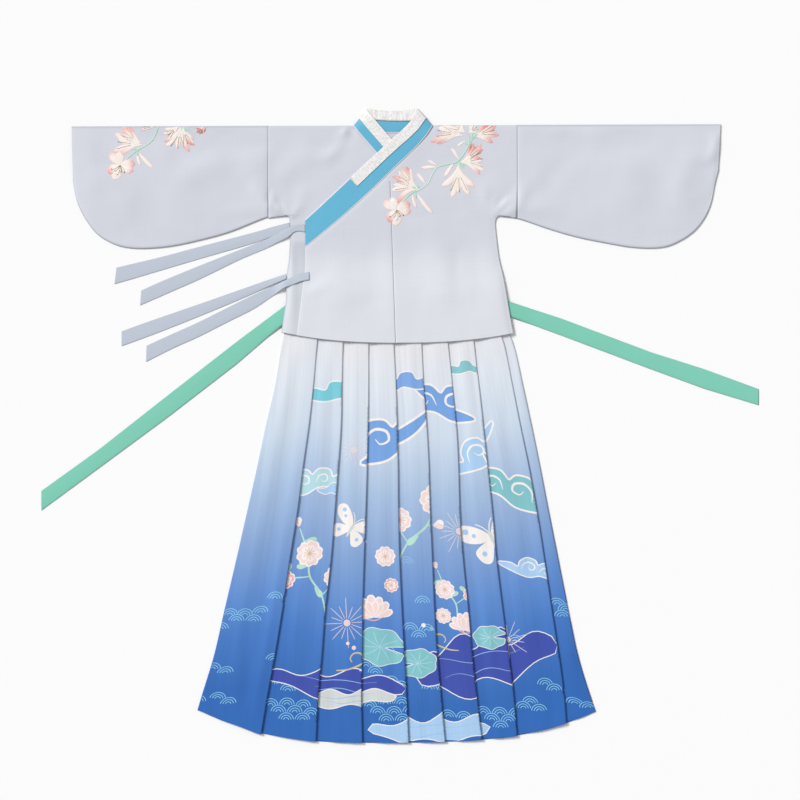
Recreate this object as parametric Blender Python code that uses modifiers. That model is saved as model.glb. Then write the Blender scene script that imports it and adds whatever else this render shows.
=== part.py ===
"""Two-piece hanfu laid flat on a surface: a cross-collar jacket over a pleated wrap skirt.

Sizes are in millimetres. +X is to the right seen from above, +Y is towards the collar, +Z is up,
and z = 0 is the surface that the cloth lies on. Every piece is an open sheet at the middle of its
cloth, laid out row by row, and Solidify gives it its thickness.
"""

from math import cos, pi, radians, sin

import bmesh
import bpy
from mathutils import Vector

MM = 0.001
COLLECTION = "hanfu_jacket_and_pleated_skirt"

# Cloth and layers
CLOTH = 1.0                 # thickness of one layer of cloth
HALF = CLOTH / 2
SEAM = 0.3                  # gap that parts two pieces at a seam
LAYER = CLOTH + SEAM        # from one layer's middle to the next one's
FLOOR = HALF                # middle of a layer that lies on the surface
TUBE = 2.0                  # from a back's middle to its front's middle in sleeves and body
FRONT = FLOOR + TUBE        # middle of the fronts and of the sleeves' upper side
OVER = FRONT + LAYER        # middle of what lies on a front

# Jacket
SHOULDER = 692.0            # height of the shoulder fold above the part's middle
SHOULDER_TILT = 0.0035      # it runs a little uphill to the right
SEAM_LEFT, SEAM_RIGHT = -304.0, 270.0    # the straight seams that join the sleeves to the body
CENTRE = -18.0              # centre back seam
HEM_CORNER = 214.5          # height of the jacket's hem at its sides
HEM_DIP = 23.5              # how much lower the hem is in the middle
HEM_MIDDLE, HEM_REACH = 0.0, 268.0

# Skirt
PLEATS = 8
PLEAT_LAYER = 1.5           # from one layer's middle to the next one's inside a pleat
UNDERLAP_TOP, UNDERLAP_HEM = 18.0, 30.0  # depth of the cloth folded under each pleat
SKIRT_TOP = 235.0           # height of the seam that joins skirt and waistband
SKIRT_BACK = FLOOR
SKIRT_LOW = SKIRT_BACK + PLEAT_LAYER     # a pleat's lowest layer
SKIRT_HIGH = SKIRT_LOW + 2 * PLEAT_LAYER
WAIST_HEIGHT = 42.0
WAIST_LEFT, WAIST_RIGHT = -261.5, 243.5
LIFT = SKIRT_HIGH + HALF + SEAM          # how far the skirt's top raises the jacket's lower part
LIFT_FROM, LIFT_TO = 400.0, 292.0        # heights between which the jacket climbs onto it


def srgb(red, green, blue):
    """A colour given in 0 to 255, as the linear values that Blender takes."""
    def linear(c):
        c /= 255
        return c / 12.92 if c <= 0.04045 else ((c + 0.055) / 1.055) ** 2.4
    return (linear(red), linear(green), linear(blue), 1.0)


def smooth(t):
    """0 to 1 with a soft start and end."""
    t = min(1.0, max(0.0, t))
    return t * t * (3 - 2 * t)


def mix(a, b, t):
    return a + (b - a) * t


def along(table, key, column, at):
    """Reads a column of a table at a place between its rows, in a smooth curve through them."""
    rows = sorted(table, key=lambda row: row[key])
    if at <= rows[0][key]:
        return rows[0][column]
    if at >= rows[-1][key]:
        return rows[-1][column]
    k = next(i for i in range(len(rows) - 1) if at <= rows[i + 1][key])
    a, b = rows[k], rows[k + 1]
    before, after = rows[max(k - 1, 0)], rows[min(k + 2, len(rows) - 1)]
    t = (at - a[key]) / (b[key] - a[key])
    step = b[key] - a[key]
    slope_a = (b[column] - before[column]) / (b[key] - before[key]) * step
    slope_b = (after[column] - a[column]) / (after[key] - a[key]) * step
    return (
        (2 * t**3 - 3 * t**2 + 1) * a[column] + (t**3 - 2 * t**2 + t) * slope_a
        + (3 * t**2 - 2 * t**3) * b[column] + (t**3 - t**2) * slope_b
    )


def new_material(name, colour, roughness):
    material = bpy.data.materials.new(name)
    material.use_nodes = True
    shader = material.node_tree.nodes["Principled BSDF"]
    shader.inputs["Base Color"].default_value = colour
    shader.inputs["Roughness"].default_value = roughness
    shader.inputs["Metallic"].default_value = 0.0
    material.diffuse_color = colour
    return material


def sheet(name, rows, material, ring=False, thickness=CLOTH):
    """A cloth piece through rows of points (x, y, z). With ring, each row closes on itself."""
    rows = [row + row[:1] if ring else row for row in rows]
    columns = len(rows[0])
    bm = bmesh.new()
    bmesh.ops.create_grid(bm, x_segments=columns - 1, y_segments=len(rows) - 1, size=1)
    bm.verts.ensure_lookup_table()
    for k, vert in enumerate(bm.verts):
        row, column = divmod(k, columns)
        vert.co = Vector(rows[row][column]) * MM
    if ring:
        bmesh.ops.remove_doubles(bm, verts=bm.verts, dist=1e-6)
    mesh = bpy.data.meshes.new(name)
    bm.to_mesh(mesh)
    bm.free()
    mesh.materials.append(material)
    mesh.shade_smooth()
    piece = bpy.data.objects.new(name, mesh)
    bpy.data.collections[COLLECTION].objects.link(piece)
    cloth = piece.modifiers.new("cloth thickness", "SOLIDIFY")
    cloth.thickness = thickness * MM
    cloth.offset = 0
    cloth.use_even_offset = True
    cloth.use_quality_normals = True
    return piece


def half_turn(steps):
    """The angles between the two ends of a half turn, from +90 to -90 degrees."""
    return [pi / 2 - pi * k / steps for k in range(1, steps)]


def shoulder_at(x):
    return SHOULDER + SHOULDER_TILT * x


def lift(y):
    """How high the jacket's lower part is raised by the skirt's top under it."""
    return LIFT * smooth((LIFT_FROM - y) / (LIFT_FROM - LIFT_TO))


def jacket_hem(x):
    """Height of the jacket's hem, which hangs lower in the middle than at the sides."""
    out = min(1.0, abs(x - HEM_MIDDLE) / HEM_REACH)
    return HEM_CORNER - HEM_DIP * (1 - out**2.4)


# Body: each half is cut in one, front and back, and folded over at the shoulder. The fronts end
# at the collar band above NECK_END, and at the centre below it.
# down: distance below the shoulder fold. side: the outer edge. back: the back's inner edge.
HALF_LEFT = [
    # down, side, back
    (1.5, SEAM_LEFT, -109.0),
    (10.0, SEAM_LEFT, -95.0),
    (16.0, SEAM_LEFT, -64.0),
    (19.0, SEAM_LEFT, CENTRE),
    (40.0, SEAM_LEFT, CENTRE),
    (64.0, SEAM_LEFT, CENTRE),
    (84.0, SEAM_LEFT, CENTRE),
    (104.0, SEAM_LEFT, CENTRE),
    (140.0, SEAM_LEFT, CENTRE),
    (175.0, SEAM_LEFT, CENTRE),
    (206.0, SEAM_LEFT, CENTRE),
    (209.5, -255.0, CENTRE),
    (224.0, -254.0, CENTRE),
    (255.0, -253.0, CENTRE),
    (308.0, -256.0, CENTRE),
    (349.0, -261.0, CENTRE),
    (402.0, -262.5, CENTRE),
    (437.0, -267.5, CENTRE),
    (477.5, -273.0, CENTRE),
]
HALF_RIGHT = [
    (1.5, SEAM_RIGHT, 78.0),
    (10.0, SEAM_RIGHT, 60.0),
    (16.0, SEAM_RIGHT, 29.0),
    (19.0, SEAM_RIGHT, CENTRE),
    (42.0, SEAM_RIGHT, CENTRE),
    (68.5, SEAM_RIGHT, CENTRE),
    (87.5, SEAM_RIGHT, CENTRE),
    (104.0, SEAM_RIGHT, CENTRE),
    (140.0, SEAM_RIGHT, CENTRE),
    (175.0, SEAM_RIGHT, CENTRE),
    (208.0, SEAM_RIGHT, CENTRE),
    (211.5, 224.0, CENTRE),
    (226.0, 219.5, CENTRE),
    (255.0, 222.0, CENTRE),
    (308.0, 228.5, CENTRE),
    (349.0, 238.0, CENTRE),
    (402.0, 247.5, CENTRE),
    (437.0, 253.5, CENTRE),
    (477.5, 261.0, CENTRE),
]
COLUMN_SHARES = (0, 0.03, 0.06, 0.16, 0.3, 0.45, 0.6, 0.74, 0.88, 1)
NECK_END = 106.0
NECK_GAP = 0.8              # measured across, where the neck's edge runs at about 45 degrees
HEM_FOLLOWS_FROM = 300.0    # below this distance from the shoulder, rows take on the hem's curve
UNDERARM_DOWN = {-1: 206.0, 1: 208.0}
UNDERARM_DIP, UNDERARM_WIDTH = 7.0, 45.0  # the seam's lower end hangs below the underarm
SEAM_TOP, SEAM_LOW = (-23.0, 564.0), (-10.0, 191.0)   # two points of the centre front seam
SIDE_PINCH, PINCH_WIDTH = TUBE - LAYER, 14.0  # the fronts come down on the back at the sides
NECK_RISE, NECK_RADIUS = 1.6, 70.0        # the right front rises to the collar's crossing
OVERLAP_RISE_WIDTH = 60.0                 # and to the overlap panel along the centre seam


def centre_seam(y):
    """The seam between the right front and the overlap panel, which leans a little."""
    return mix(SEAM_LOW[0], SEAM_TOP[0], (y - SEAM_LOW[1]) / (SEAM_TOP[1] - SEAM_LOW[1]))


def row_height(table, down, x):
    """Height of a row at x. The lowest rows take on the hem's curve."""
    lowest = table[-1][0]
    bend = smooth((down - HEM_FOLLOWS_FROM) / (lowest - HEM_FOLLOWS_FROM))
    return mix(shoulder_at(x) - down, jacket_hem(x) - (down - lowest), bend)


def front_edge(table, down, side_sign):
    """Where a front ends at a distance below the shoulder: at the collar band, or the centre."""
    if down > NECK_END:
        return centre_seam(row_height(table, down, CENTRE)) if side_sign > 0 else CENTRE
    stretch, fold = (COLLAR_OUTER, FOLD_RIGHT) if side_sign > 0 else (COLLAR_INNER, FOLD_LEFT)
    sewn = sorted([(row[4], row[3]) for row in stretch] + [(fold[1][1], fold[1][0])])
    y = SHOULDER - down
    k = next((i for i in range(len(sewn) - 1) if y <= sewn[i + 1][0]), len(sewn) - 2)
    (low_y, low_x), (high_y, high_x) = sewn[k], sewn[k + 1]
    return mix(low_x, high_x, min(1.0, (y - low_y) / (high_y - low_y))) + side_sign * NECK_GAP


def half_row(table, row, edge, level, side_sign):
    """One row of a body half from its outer edge to the given inner edge."""
    down, side = row[0], row[1]
    points = []
    for part in COLUMN_SHARES:
        x = mix(side, edge, part) - side_sign * SEAM / 2 * (1 - 2 * part)
        y = row_height(table, down, x)
        if down == UNDERARM_DOWN[side_sign]:
            y -= UNDERARM_DIP * max(0.0, 1 - abs(x - side) / UNDERARM_WIDTH)
        z = level(x, y) + lift(y)
        if down > UNDERARM_DOWN[side_sign] and z - lift(y) > FLOOR:
            z -= SIDE_PINCH * smooth(1 - abs(x - side) / PINCH_WIDTH)
        points.append((x, y, z))
    return points


def flat(level):
    return lambda x, y: level


def right_front_level(x, y):
    to_overlap = LAYER * smooth(1 - (x - CENTRE) / OVERLAP_RISE_WIDTH)
    to_collar = NECK_RISE * smooth(1 - ((x - 10) ** 2 + (y - 640) ** 2) ** 0.5 / NECK_RADIUS)
    return FRONT + max(to_overlap, to_collar)


def make_half(name, table, side_sign, front_level, material):
    def front(row):
        return half_row(table, row, front_edge(table, row[0], side_sign), front_level, side_sign)
    rows = [half_row(table, row, row[2], flat(FLOOR), side_sign) for row in reversed(table)]
    top = front(table[0])
    for angle in reversed(half_turn(4)):
        rows.append([
            (x, y + TUBE / 2 * cos(angle), mix(FLOOR, z, (1 + sin(angle)) / 2))
            for x, y, z in top
        ])
    rows += [front(row) for row in table]
    return sheet(name, rows, material)


# Overlap panel: it is sewn to the right front at the centre seam, and crosses to the left side.
OVERLAP_TOP = [
    # x, top
    (-218.5, 410.5),
    (-151.0, 465.0),
    (-98.0, 510.5),
    (-24.0, 580.5),
]
OVERLAP_EDGE = [
    # height, x
    (411.0, -218.5),
    (356.0, -219.5),
    (315.0, -225.0),
    (208.0, -238.0),
]
OVERLAP_COLUMNS, OVERLAP_ROWS = 9, 10


def make_overlap(material):
    rows = []
    for r in range(OVERLAP_ROWS + 1):
        points = []
        for c in range(OVERLAP_COLUMNS + 1):
            f = c / OVERLAP_COLUMNS
            x = mix(OVERLAP_TOP[0][0], OVERLAP_TOP[-1][0], f)
            for _ in range(3):
                y = mix(along(OVERLAP_TOP, 0, 1, x), jacket_hem(x), r / OVERLAP_ROWS)
                left = along(OVERLAP_EDGE, 0, 1, y)
                right = centre_seam(y) - SEAM
                x = mix(left, right, f)
            points.append((x, y, OVER + lift(y)))
        rows.append(points)
    return sheet("overlap_front", rows, material)


# Sleeves: each is one flat tube, folded at the shoulder line and sewn along its curved underside.
# top: x on the fold. x, y: the point of the curved edge that the row of cloth ends at.
SLEEVE_LEFT = [
    # top, x, y
    (-304.0, -304.0, 479.0),
    (-330.0, -326.0, 471.5),
    (-395.0, -395.0, 445.0),
    (-465.0, -465.0, 426.0),
    (-530.0, -525.0, 413.5),
    (-590.0, -575.0, 408.5),
    (-630.0, -612.0, 408.5),
    (-668.0, -645.0, 413.5),
    (-698.0, -674.0, 425.5),
    (-720.0, -697.0, 441.0),
    (-734.0, -717.0, 465.0),
    (-745.0, -733.0, 492.0),
    (-751.0, -745.0, 522.0),
    (-755.6, -753.5, 568.0),
]
SLEEVE_RIGHT = [
    (270.0, 270.0, 474.0),
    (292.0, 290.0, 468.0),
    (345.0, 345.0, 450.5),
    (410.0, 408.0, 434.0),
    (475.0, 472.0, 421.0),
    (535.0, 527.0, 411.5),
    (585.0, 575.0, 408.5),
    (625.0, 612.0, 412.0),
    (655.0, 640.0, 423.0),
    (682.0, 665.0, 438.0),
    (702.0, 686.0, 457.0),
    (717.0, 704.0, 483.0),
    (728.0, 717.0, 515.0),
    (733.0, 726.0, 560.0),
    (738.0, 734.0, 590.0),
]
SLEEVE_ROWS = 7
SLEEVE_SWELL = 2.2          # how far the upper side stands off the lower one in the middle


def make_sleeve(name, table, outward, material):
    """Rows run round the tube, from the lower side's curved edge over the fold and back."""
    radius = TUBE / 2
    inset = radius + HALF
    rings = []
    for k, (top, x, y) in enumerate(table):
        before, after = table[max(k - 1, 0)], table[min(k + 1, len(table) - 1)]
        run = Vector((after[1] - before[1], after[2] - before[2])).normalized()
        inward = Vector((-run.y, run.x)) * outward
        length = k / (len(table) - 1)
        if k == 0:
            top += outward * SEAM / 2
            x += outward * SEAM / 2
            inward = Vector((0, 1))
        upper = Vector((top, shoulder_at(top) - inset))
        lower = Vector((x, y)) + inward * inset
        under, over = [], []
        for r in range(SLEEVE_ROWS + 1):
            f = r / SLEEVE_ROWS
            at = lower.lerp(upper, f)
            swell = SLEEVE_SWELL * sin(pi * f) ** 0.8 * sin(pi * min(1.0, 0.9 * length)) ** 0.7
            under.append((at.x, at.y, FLOOR))
            over.append((at.x, at.y, FRONT + swell))
        middle = FLOOR + radius
        fold = [(upper.x, upper.y + radius * cos(a), middle - radius * sin(a)) for a in half_turn(4)]
        edge = []
        for a in half_turn(4):
            at = lower - inward * radius * cos(a)
            edge.append((at.x, at.y, middle + radius * sin(a)))
        rings.append(under + fold + over[::-1] + edge)
    return sheet(name, rings, material, ring=True)


# Collar: one straight band, folded at both sides of the neck, and the guard strip over its edge.
# in_x, in_y, in_z: the band's free edge. out_x, out_y, out_z: the edge sewn to the neck.
# guard: the share of the band's width that the guard covers.
COLLAR_OUTER = [
    # in_x, in_y, in_z, out_x, out_y, out_z, guard
    (-218.0, 475.0, 3.8, -218.0, 411.3, 3.8, 0.46),
    (-180.0, 510.0, 3.8, -142.0, 473.5, 3.8, 0.46),
    (-116.0, 570.0, 3.9, -79.0, 529.5, 3.8, 0.46),
    (-78.0, 605.5, 4.8, -40.0, 567.0, 4.0, 0.46),
    (-39.0, 641.0, 5.7, -2.0, 604.5, 4.2, 0.46),
    (-19.0, 660.0, 5.7, 19.0, 623.5, 4.2, 0.47),
    (2.0, 678.0, 5.3, 45.0, 650.0, 4.3, 0.49),
    (22.0, 698.0, 4.8, 62.0, 670.0, 4.4, 0.52),
]
COLLAR_BACK = [
    (14.0, 725.0, 1.8, 31.0, 676.5, 0.5, 0.52),
    (-18.0, 723.0, 1.8, -18.0, 674.3, 0.5, 0.52),
    (-50.0, 724.5, 1.8, -66.0, 677.0, 0.5, 0.52),
]
COLLAR_INNER = [
    (-60.0, 707.0, 4.2, -96.3, 676.3, 3.6, 0.55),
    (-40.0, 684.0, 3.6, -75.5, 652.5, 3.0, 0.55),
    (-19.0, 660.0, 2.8, -55.0, 629.0, 2.6, 0.55),
    (-6.0, 645.0, 2.8, -39.5, 611.5, 2.6, 0.55),
]
# The two lines that the band is folded along: its free edge's end and its sewn edge's end.
FOLD_RIGHT = ((42.0, 730.0), (77.0, 692.0))
FOLD_LEFT = ((-78.0, 728.0), (-108.5, 691.0))
FOLD_FRONT, FOLD_BACK = 4.4, 1.8          # heights of the band's two layers beside a fold
FOLD_GUARD = 0.55
GUARD_ENDS_AT = 2                         # the guard starts at this row of COLLAR_OUTER
BAND_COLUMNS, GUARD_COLUMNS = 5, 3
BAND_FLAT_TO = 0.6                        # share of the width that stays over the guard at the back
# Inner leaf: the guard strip turned in over the back of the neck.
LEAF = [
    # top_x, top_y, low_x, low_y
    (36.0, 725.0, 30.0, 702.0),
    (12.0, 723.5, 12.0, 701.0),
    (-18.0, 722.0, -18.0, 701.5),
    (-48.0, 723.0, -46.0, 703.0),
    (-72.0, 725.0, -66.0, 704.0),
]


def fold_stations(line, angles, middle_x):
    """The band's stations round a fold, with the outside direction at each."""
    free, sewn = Vector(line[0]), Vector(line[1])
    run = (sewn - free).normalized()
    outward = Vector((-run.y, run.x))
    if (free.x - middle_x) * outward.x < 0:
        outward = -outward
    radius = (FOLD_FRONT - FOLD_BACK) / 2
    middle = (FOLD_FRONT + FOLD_BACK) / 2
    inset = radius + HALF + LAYER
    stations = []
    for angle in angles:
        shift = outward * (radius * cos(angle) - inset)
        z = middle + radius * sin(angle)
        out = Vector((outward.x * cos(angle), outward.y * cos(angle), sin(angle)))
        a, b = free + shift, sewn + shift
        stations.append((Vector((a.x, a.y, z)), Vector((b.x, b.y, z)), out, FOLD_GUARD))
    return stations


def collar_stations():
    """The whole band from its lower end round the neck: free edge, sewn edge, outside, guard."""
    def laid(table, up):
        return [
            (Vector(row[0:3]), Vector(row[3:6]), Vector((0, 0, up)), row[6]) for row in table
        ]
    down_the_side = [radians(a) for a in (90, 54, 18, -18, -54, -90)]
    return (
        laid(COLLAR_OUTER, 1)
        + fold_stations(FOLD_RIGHT, down_the_side, CENTRE)
        + laid(COLLAR_BACK, -1)
        + fold_stations(FOLD_LEFT, down_the_side[::-1], CENTRE)
        + laid(COLLAR_INNER, 1)
    )


def make_collar(band_material, guard_material):
    stations = collar_stations()
    band = []
    for a, b, out, _ in stations:
        row = [a.lerp(b, c / BAND_COLUMNS) for c in range(BAND_COLUMNS + 1)]
        if out.z < -0.9:
            for c, at in enumerate(row):
                bent = max(0.0, c / BAND_COLUMNS - BAND_FLAT_TO) / (1 - BAND_FLAT_TO)
                at.z = mix(a.z, b.z, bent)
        band.append([tuple(at) for at in row])
    sheet("collar_band", band, band_material)
    guard = []
    for a, b, out, share in stations[GUARD_ENDS_AT:]:
        row = [a.lerp(b, share * c / GUARD_COLUMNS) + out * LAYER for c in range(GUARD_COLUMNS + 1)]
        for at in row:
            at.z = FLOOR if out.z < -0.9 else at.z
        guard.append([tuple(at) for at in row])
    sheet("collar_guard", guard, guard_material)
    height = FOLD_BACK + LAYER
    leaf = [
        [(mix(x0, x1, c / 2), mix(y0, y1, c / 2), height) for c in range(3)]
        for x0, y0, x1, y1 in LEAF
    ]
    sheet("collar_guard_leaf", leaf, guard_material)


# Ties: flat tapes, each a table from the free end to the sewn end.
# x: along. upper, lower: its two edges there. z: the height of its middle on a flat jacket.
# raised: the share of the jacket's lift that is added, from 0 on the surface to 1 on the jacket.
SIDE_TIES = {
    "side_tie_1": [
        (-655.0, 364.5, 327.0, 0.5, 0.0),
        (-560.0, 381.0, 356.0, 0.5, 0.0),
        (-464.0, 412.0, 384.0, 0.5, 0.0),
        (-335.0, 446.0, 421.5, 0.5, 0.0),
        (-285.0, 460.5, 439.0, 0.7, 0.0),
        (-254.2, 468.0, 448.0, 1.5, 0.0),
    ],
    "side_tie_2": [
        (-597.0, 312.0, 278.0, 0.5, 0.0),
        (-530.0, 341.0, 308.0, 0.5, 0.0),
        (-464.0, 368.0, 337.0, 0.5, 0.0),
        (-367.0, 406.5, 384.0, 0.5, 0.0),
        (-310.0, 428.0, 409.0, 0.6, 0.0),
        (-260.0, 446.8, 433.5, 3.8, 1.0),
        (-240.0, 452.5, 441.5, 3.8, 1.0),
        (-218.6, 461.0, 447.0, 3.8, 1.0),
    ],
    "side_tie_3": [
        (-641.0, 218.0, 184.0, 0.5, 0.0),
        (-560.0, 247.0, 214.0, 0.5, 0.0),
        (-464.0, 280.0, 252.0, 0.5, 0.0),
        (-370.0, 313.0, 291.0, 0.5, 0.0),
        (-310.0, 334.0, 318.0, 0.6, 0.2),
        (-261.3, 350.0, 338.5, 1.5, 1.0),
    ],
    "side_tie_4": [
        (-584.0, 185.0, 148.0, 0.5, 0.0),
        (-524.0, 212.0, 178.5, 0.5, 0.0),
        (-464.0, 239.0, 205.5, 0.5, 0.0),
        (-400.0, 271.0, 238.0, 0.5, 0.0),
        (-335.0, 303.0, 271.0, 0.6, 0.1),
        (-269.0, 332.5, 316.0, 3.9, 1.0),
        (-245.0, 343.5, 325.5, 4.2, 1.0),
        (-230.0, 350.0, 331.5, 5.1, 1.0),
        (-209.0, 354.0, 335.5, 5.1, 1.0),
    ],
}
WAIST_TIES = {
    "waist_tie_left": [
        (-825.5, -149.5, -194.0, 0.6, 0.0),
        (-693.0, -54.0, -96.5, 0.6, 0.0),
        (-534.0, 71.0, 21.0, 0.6, 0.0),
        (-376.0, 194.0, 143.0, 0.6, 0.0),
        (-305.0, 247.0, 204.0, 0.6, 0.0),
        (-261.85, 279.0, 238.0, 2.75, 0.0),
    ],
    "waist_tie_right": [
        (825.5, 85.0, 48.0, 0.6, 0.0),
        (700.0, 131.0, 86.0, 0.6, 0.0),
        (577.0, 167.0, 131.0, 0.6, 0.0),
        (371.0, 251.0, 208.5, 0.6, 0.0),
        (300.0, 275.0, 234.0, 0.6, 0.0),
        (243.85, 281.0, 243.0, 2.75, 0.0),
    ],
}
SIDE_TIE_STEPS, WAIST_TIE_STEPS = 20, 10
WAIST_TIE_CLOTH = 1.2


def make_tie(name, table, steps, thickness, material):
    first, last = table[0][0], table[-1][0]
    rows = []
    for k in range(steps + 1):
        x = mix(first, last, k / steps)
        upper, lower, z, raised = (along(table, 0, column, x) for column in (1, 2, 3, 4))
        z, raised = max(z, thickness / 2), max(raised, 0.0)
        across = [mix(lower, upper, c / 2) for c in range(3)]
        rows.append([(x, y, z + raised * lift(y)) for y in across])
    return sheet(name, rows, material, thickness=thickness)


# Skirt: one wrapped cloth in knife pleats, all folded the same way, with a plain back.
# height: where the row is. left, right: the skirt's sides. fold_1 to fold_8: the pleats' edges.
SKIRT_ROWS = [
    # height, left, fold_1 to fold_8, right
    (235, -262, -186, -129, -72, -16, 47, 105, 164, 222, 242),
    (186, -273, -191, -131, -72, -14, 50, 111, 171, 240, 262),
    (94, -288, -199, -133, -72, -9, 55, 121, 182, 259, 283),
    (2, -309, -209, -135, -73, -6, 62, 130, 192, 277, 303),
    (-90, -328, -222, -141, -75, -4, 67, 135, 202, 296, 322),
    (-193, -351, -235, -149, -78, -3, 70, 138, 213, 315, 342),
    (-308, -377, -253, -158, -82, 0, 75, 146, 223, 333, 365),
    (-423, -404, -270, -171, -85, 5, 80, 158, 237, 350, 388),
    (-527, -428, -287, -179, -86, 11, 87, 167, 251, 366, 410),
    (-619, -456, -304, -187, -88, 16, 95, 177, 262, 378, 438),
    (-728, -488, -322, -193, -86, 21, 105, 190, 271, 386, 478),
]
SKIRT_HEM = [
    # x, height
    (-482, -650),
    (-466, -654),
    (-414, -676),
    (-368, -692),
    (-321, -709),
    (-267, -717),
    (-193, -726),
    (-87, -729),
    (21, -729),
    (105, -727),
    (190, -722),
    (270, -713),
    (334, -699),
    (386, -683),
    (430, -666),
    (455, -655),
]
SKIRT_SECTIONS = 11
BACK_COLUMNS = 8
FACE_STARTS, FACE_CLIMBS = 0.12, 0.6      # where a face leaves the lowest layer, and is halfway up


def skirt_point(share, column, offset, z):
    """A point of the skirt, share of the way down, at a fold or side and so far beside it."""
    x = along(SKIRT_ROWS, 0, column, mix(SKIRT_TOP, SKIRT_ROWS[-1][0], share)) + offset
    for _ in range(3):
        hem = along(SKIRT_HEM, 0, 1, x)
        y = mix(SKIRT_TOP, hem, share)
        x = along(SKIRT_ROWS, 0, column, y) + offset
    return (x, y, z)


def skirt_ring(share):
    """One row round the skirt: the pleated front from left to right, then the back."""
    underlap = mix(UNDERLAP_TOP, UNDERLAP_HEM, share)
    radius = PLEAT_LAYER / 2
    inset = radius + HALF
    turn = half_turn(4)
    left_edge, right_edge = 1, PLEATS + 2
    side = (SKIRT_LOW + SKIRT_BACK) / 2
    ring = [skirt_point(share, left_edge, inset - radius * cos(a), side - radius * sin(a)) for a in turn]
    ring.append(skirt_point(share, left_edge, inset, SKIRT_LOW))
    for pleat in range(1, PLEATS + 1):
        fold, before = pleat + 1, pleat
        start = skirt_point(share, before, SEAM, SKIRT_LOW)
        flat_from = skirt_point(share, fold, -underlap - radius, SKIRT_HIGH)
        x, y, _ = (mix(a, b, FACE_STARTS) for a, b in zip(start, flat_from))
        ring.append((x, y, SKIRT_LOW))
        ring.append(tuple(mix(a, b, FACE_CLIMBS) for a, b in zip(start, flat_from)))
        ring.append(flat_from)
        ring.append(skirt_point(share, fold, -inset, SKIRT_HIGH))
        upper = SKIRT_HIGH - radius
        ring += [skirt_point(share, fold, radius * cos(a) - inset, upper + radius * sin(a)) for a in turn]
        ring.append(skirt_point(share, fold, -inset, SKIRT_HIGH - PLEAT_LAYER))
        ring.append(skirt_point(share, fold, -underlap, SKIRT_HIGH - PLEAT_LAYER))
        lower = SKIRT_LOW + radius
        ring += [skirt_point(share, fold, -underlap - radius * cos(a), lower + radius * sin(a)) for a in turn]
        ring.append(skirt_point(share, fold, -underlap, SKIRT_LOW))
        ring.append(skirt_point(share, fold, 0, SKIRT_LOW))
    ring.append(skirt_point(share, right_edge, -inset, SKIRT_LOW))
    ring += [skirt_point(share, right_edge, radius * cos(a) - inset, side + radius * sin(a)) for a in turn]
    right = skirt_point(share, right_edge, -inset, SKIRT_BACK)
    left = skirt_point(share, left_edge, inset, SKIRT_BACK)
    for k in range(BACK_COLUMNS + 1):
        x = mix(right[0], left[0], k / BACK_COLUMNS)
        ring.append((x, mix(SKIRT_TOP, along(SKIRT_HEM, 0, 1, x), share), SKIRT_BACK))
    return ring


def make_skirt(material):
    rings = [skirt_ring(k / SKIRT_SECTIONS) for k in range(SKIRT_SECTIONS + 1)]
    return sheet("skirt_cloth", rings, material, ring=True)


def make_waistband(material):
    """A plain flat tube on the skirt's upper edge, hidden by the jacket."""
    low, high = SKIRT_TOP + SEAM, SKIRT_TOP + SEAM + WAIST_HEIGHT
    left, right = WAIST_LEFT, WAIST_RIGHT
    radius = (SKIRT_HIGH - SKIRT_BACK) / 2
    inset = radius + HALF
    middle = SKIRT_BACK + radius
    rings = []
    for k in range(3):
        y = mix(low, high, k / 2)
        front = [(mix(left + inset, right - inset, c / 6), y, SKIRT_HIGH) for c in range(7)]
        right_side = [(right - inset + radius * cos(a), y, middle + radius * sin(a)) for a in half_turn(6)]
        back = [(mix(right - inset, left + inset, c / 6), y, SKIRT_BACK) for c in range(7)]
        left_side = [(left + inset - radius * cos(a), y, middle - radius * sin(a)) for a in half_turn(6)]
        rings.append(front + right_side + back + left_side)
    return sheet("skirt_waistband", rings, material, ring=True)


for item in list(bpy.data.objects):
    bpy.data.objects.remove(item, do_unlink=True)
pieces = bpy.data.collections.new(COLLECTION)
bpy.context.scene.collection.children.link(pieces)

jacket_cloth = new_material("jacket_cloth", srgb(214, 219, 230), 0.85)
band_cloth = new_material("collar_band_cloth", srgb(95, 178, 212), 0.6)
guard_cloth = new_material("collar_guard_cloth", srgb(242, 242, 245), 0.6)
tie_cloth = new_material("side_tie_cloth", srgb(190, 202, 216), 0.8)
waist_cloth = new_material("waist_tie_cloth", srgb(120, 205, 178), 0.7)
skirt_cloth = new_material("skirt_cloth", srgb(120, 165, 220), 0.75)

make_half("body_left", HALF_LEFT, -1, flat(FRONT), jacket_cloth)
make_half("body_right", HALF_RIGHT, 1, right_front_level, jacket_cloth)
make_overlap(jacket_cloth)
make_sleeve("sleeve_left", SLEEVE_LEFT, -1, jacket_cloth)
make_sleeve("sleeve_right", SLEEVE_RIGHT, 1, jacket_cloth)
make_collar(band_cloth, guard_cloth)
for tie, rows in SIDE_TIES.items():
    make_tie(tie, rows, SIDE_TIE_STEPS, CLOTH, tie_cloth)
make_skirt(skirt_cloth)
make_waistband(waist_cloth)
for tie, rows in WAIST_TIES.items():
    make_tie(tie, rows, WAIST_TIE_STEPS, WAIST_TIE_CLOTH, waist_cloth)
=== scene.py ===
from math import atan2, ceil, cos, exp, pi, radians, sin

import bmesh
import bpy
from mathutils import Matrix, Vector, noise
from mathutils.bvhtree import BVHTree
from mathutils.geometry import delaunay_2d_cdt


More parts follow.
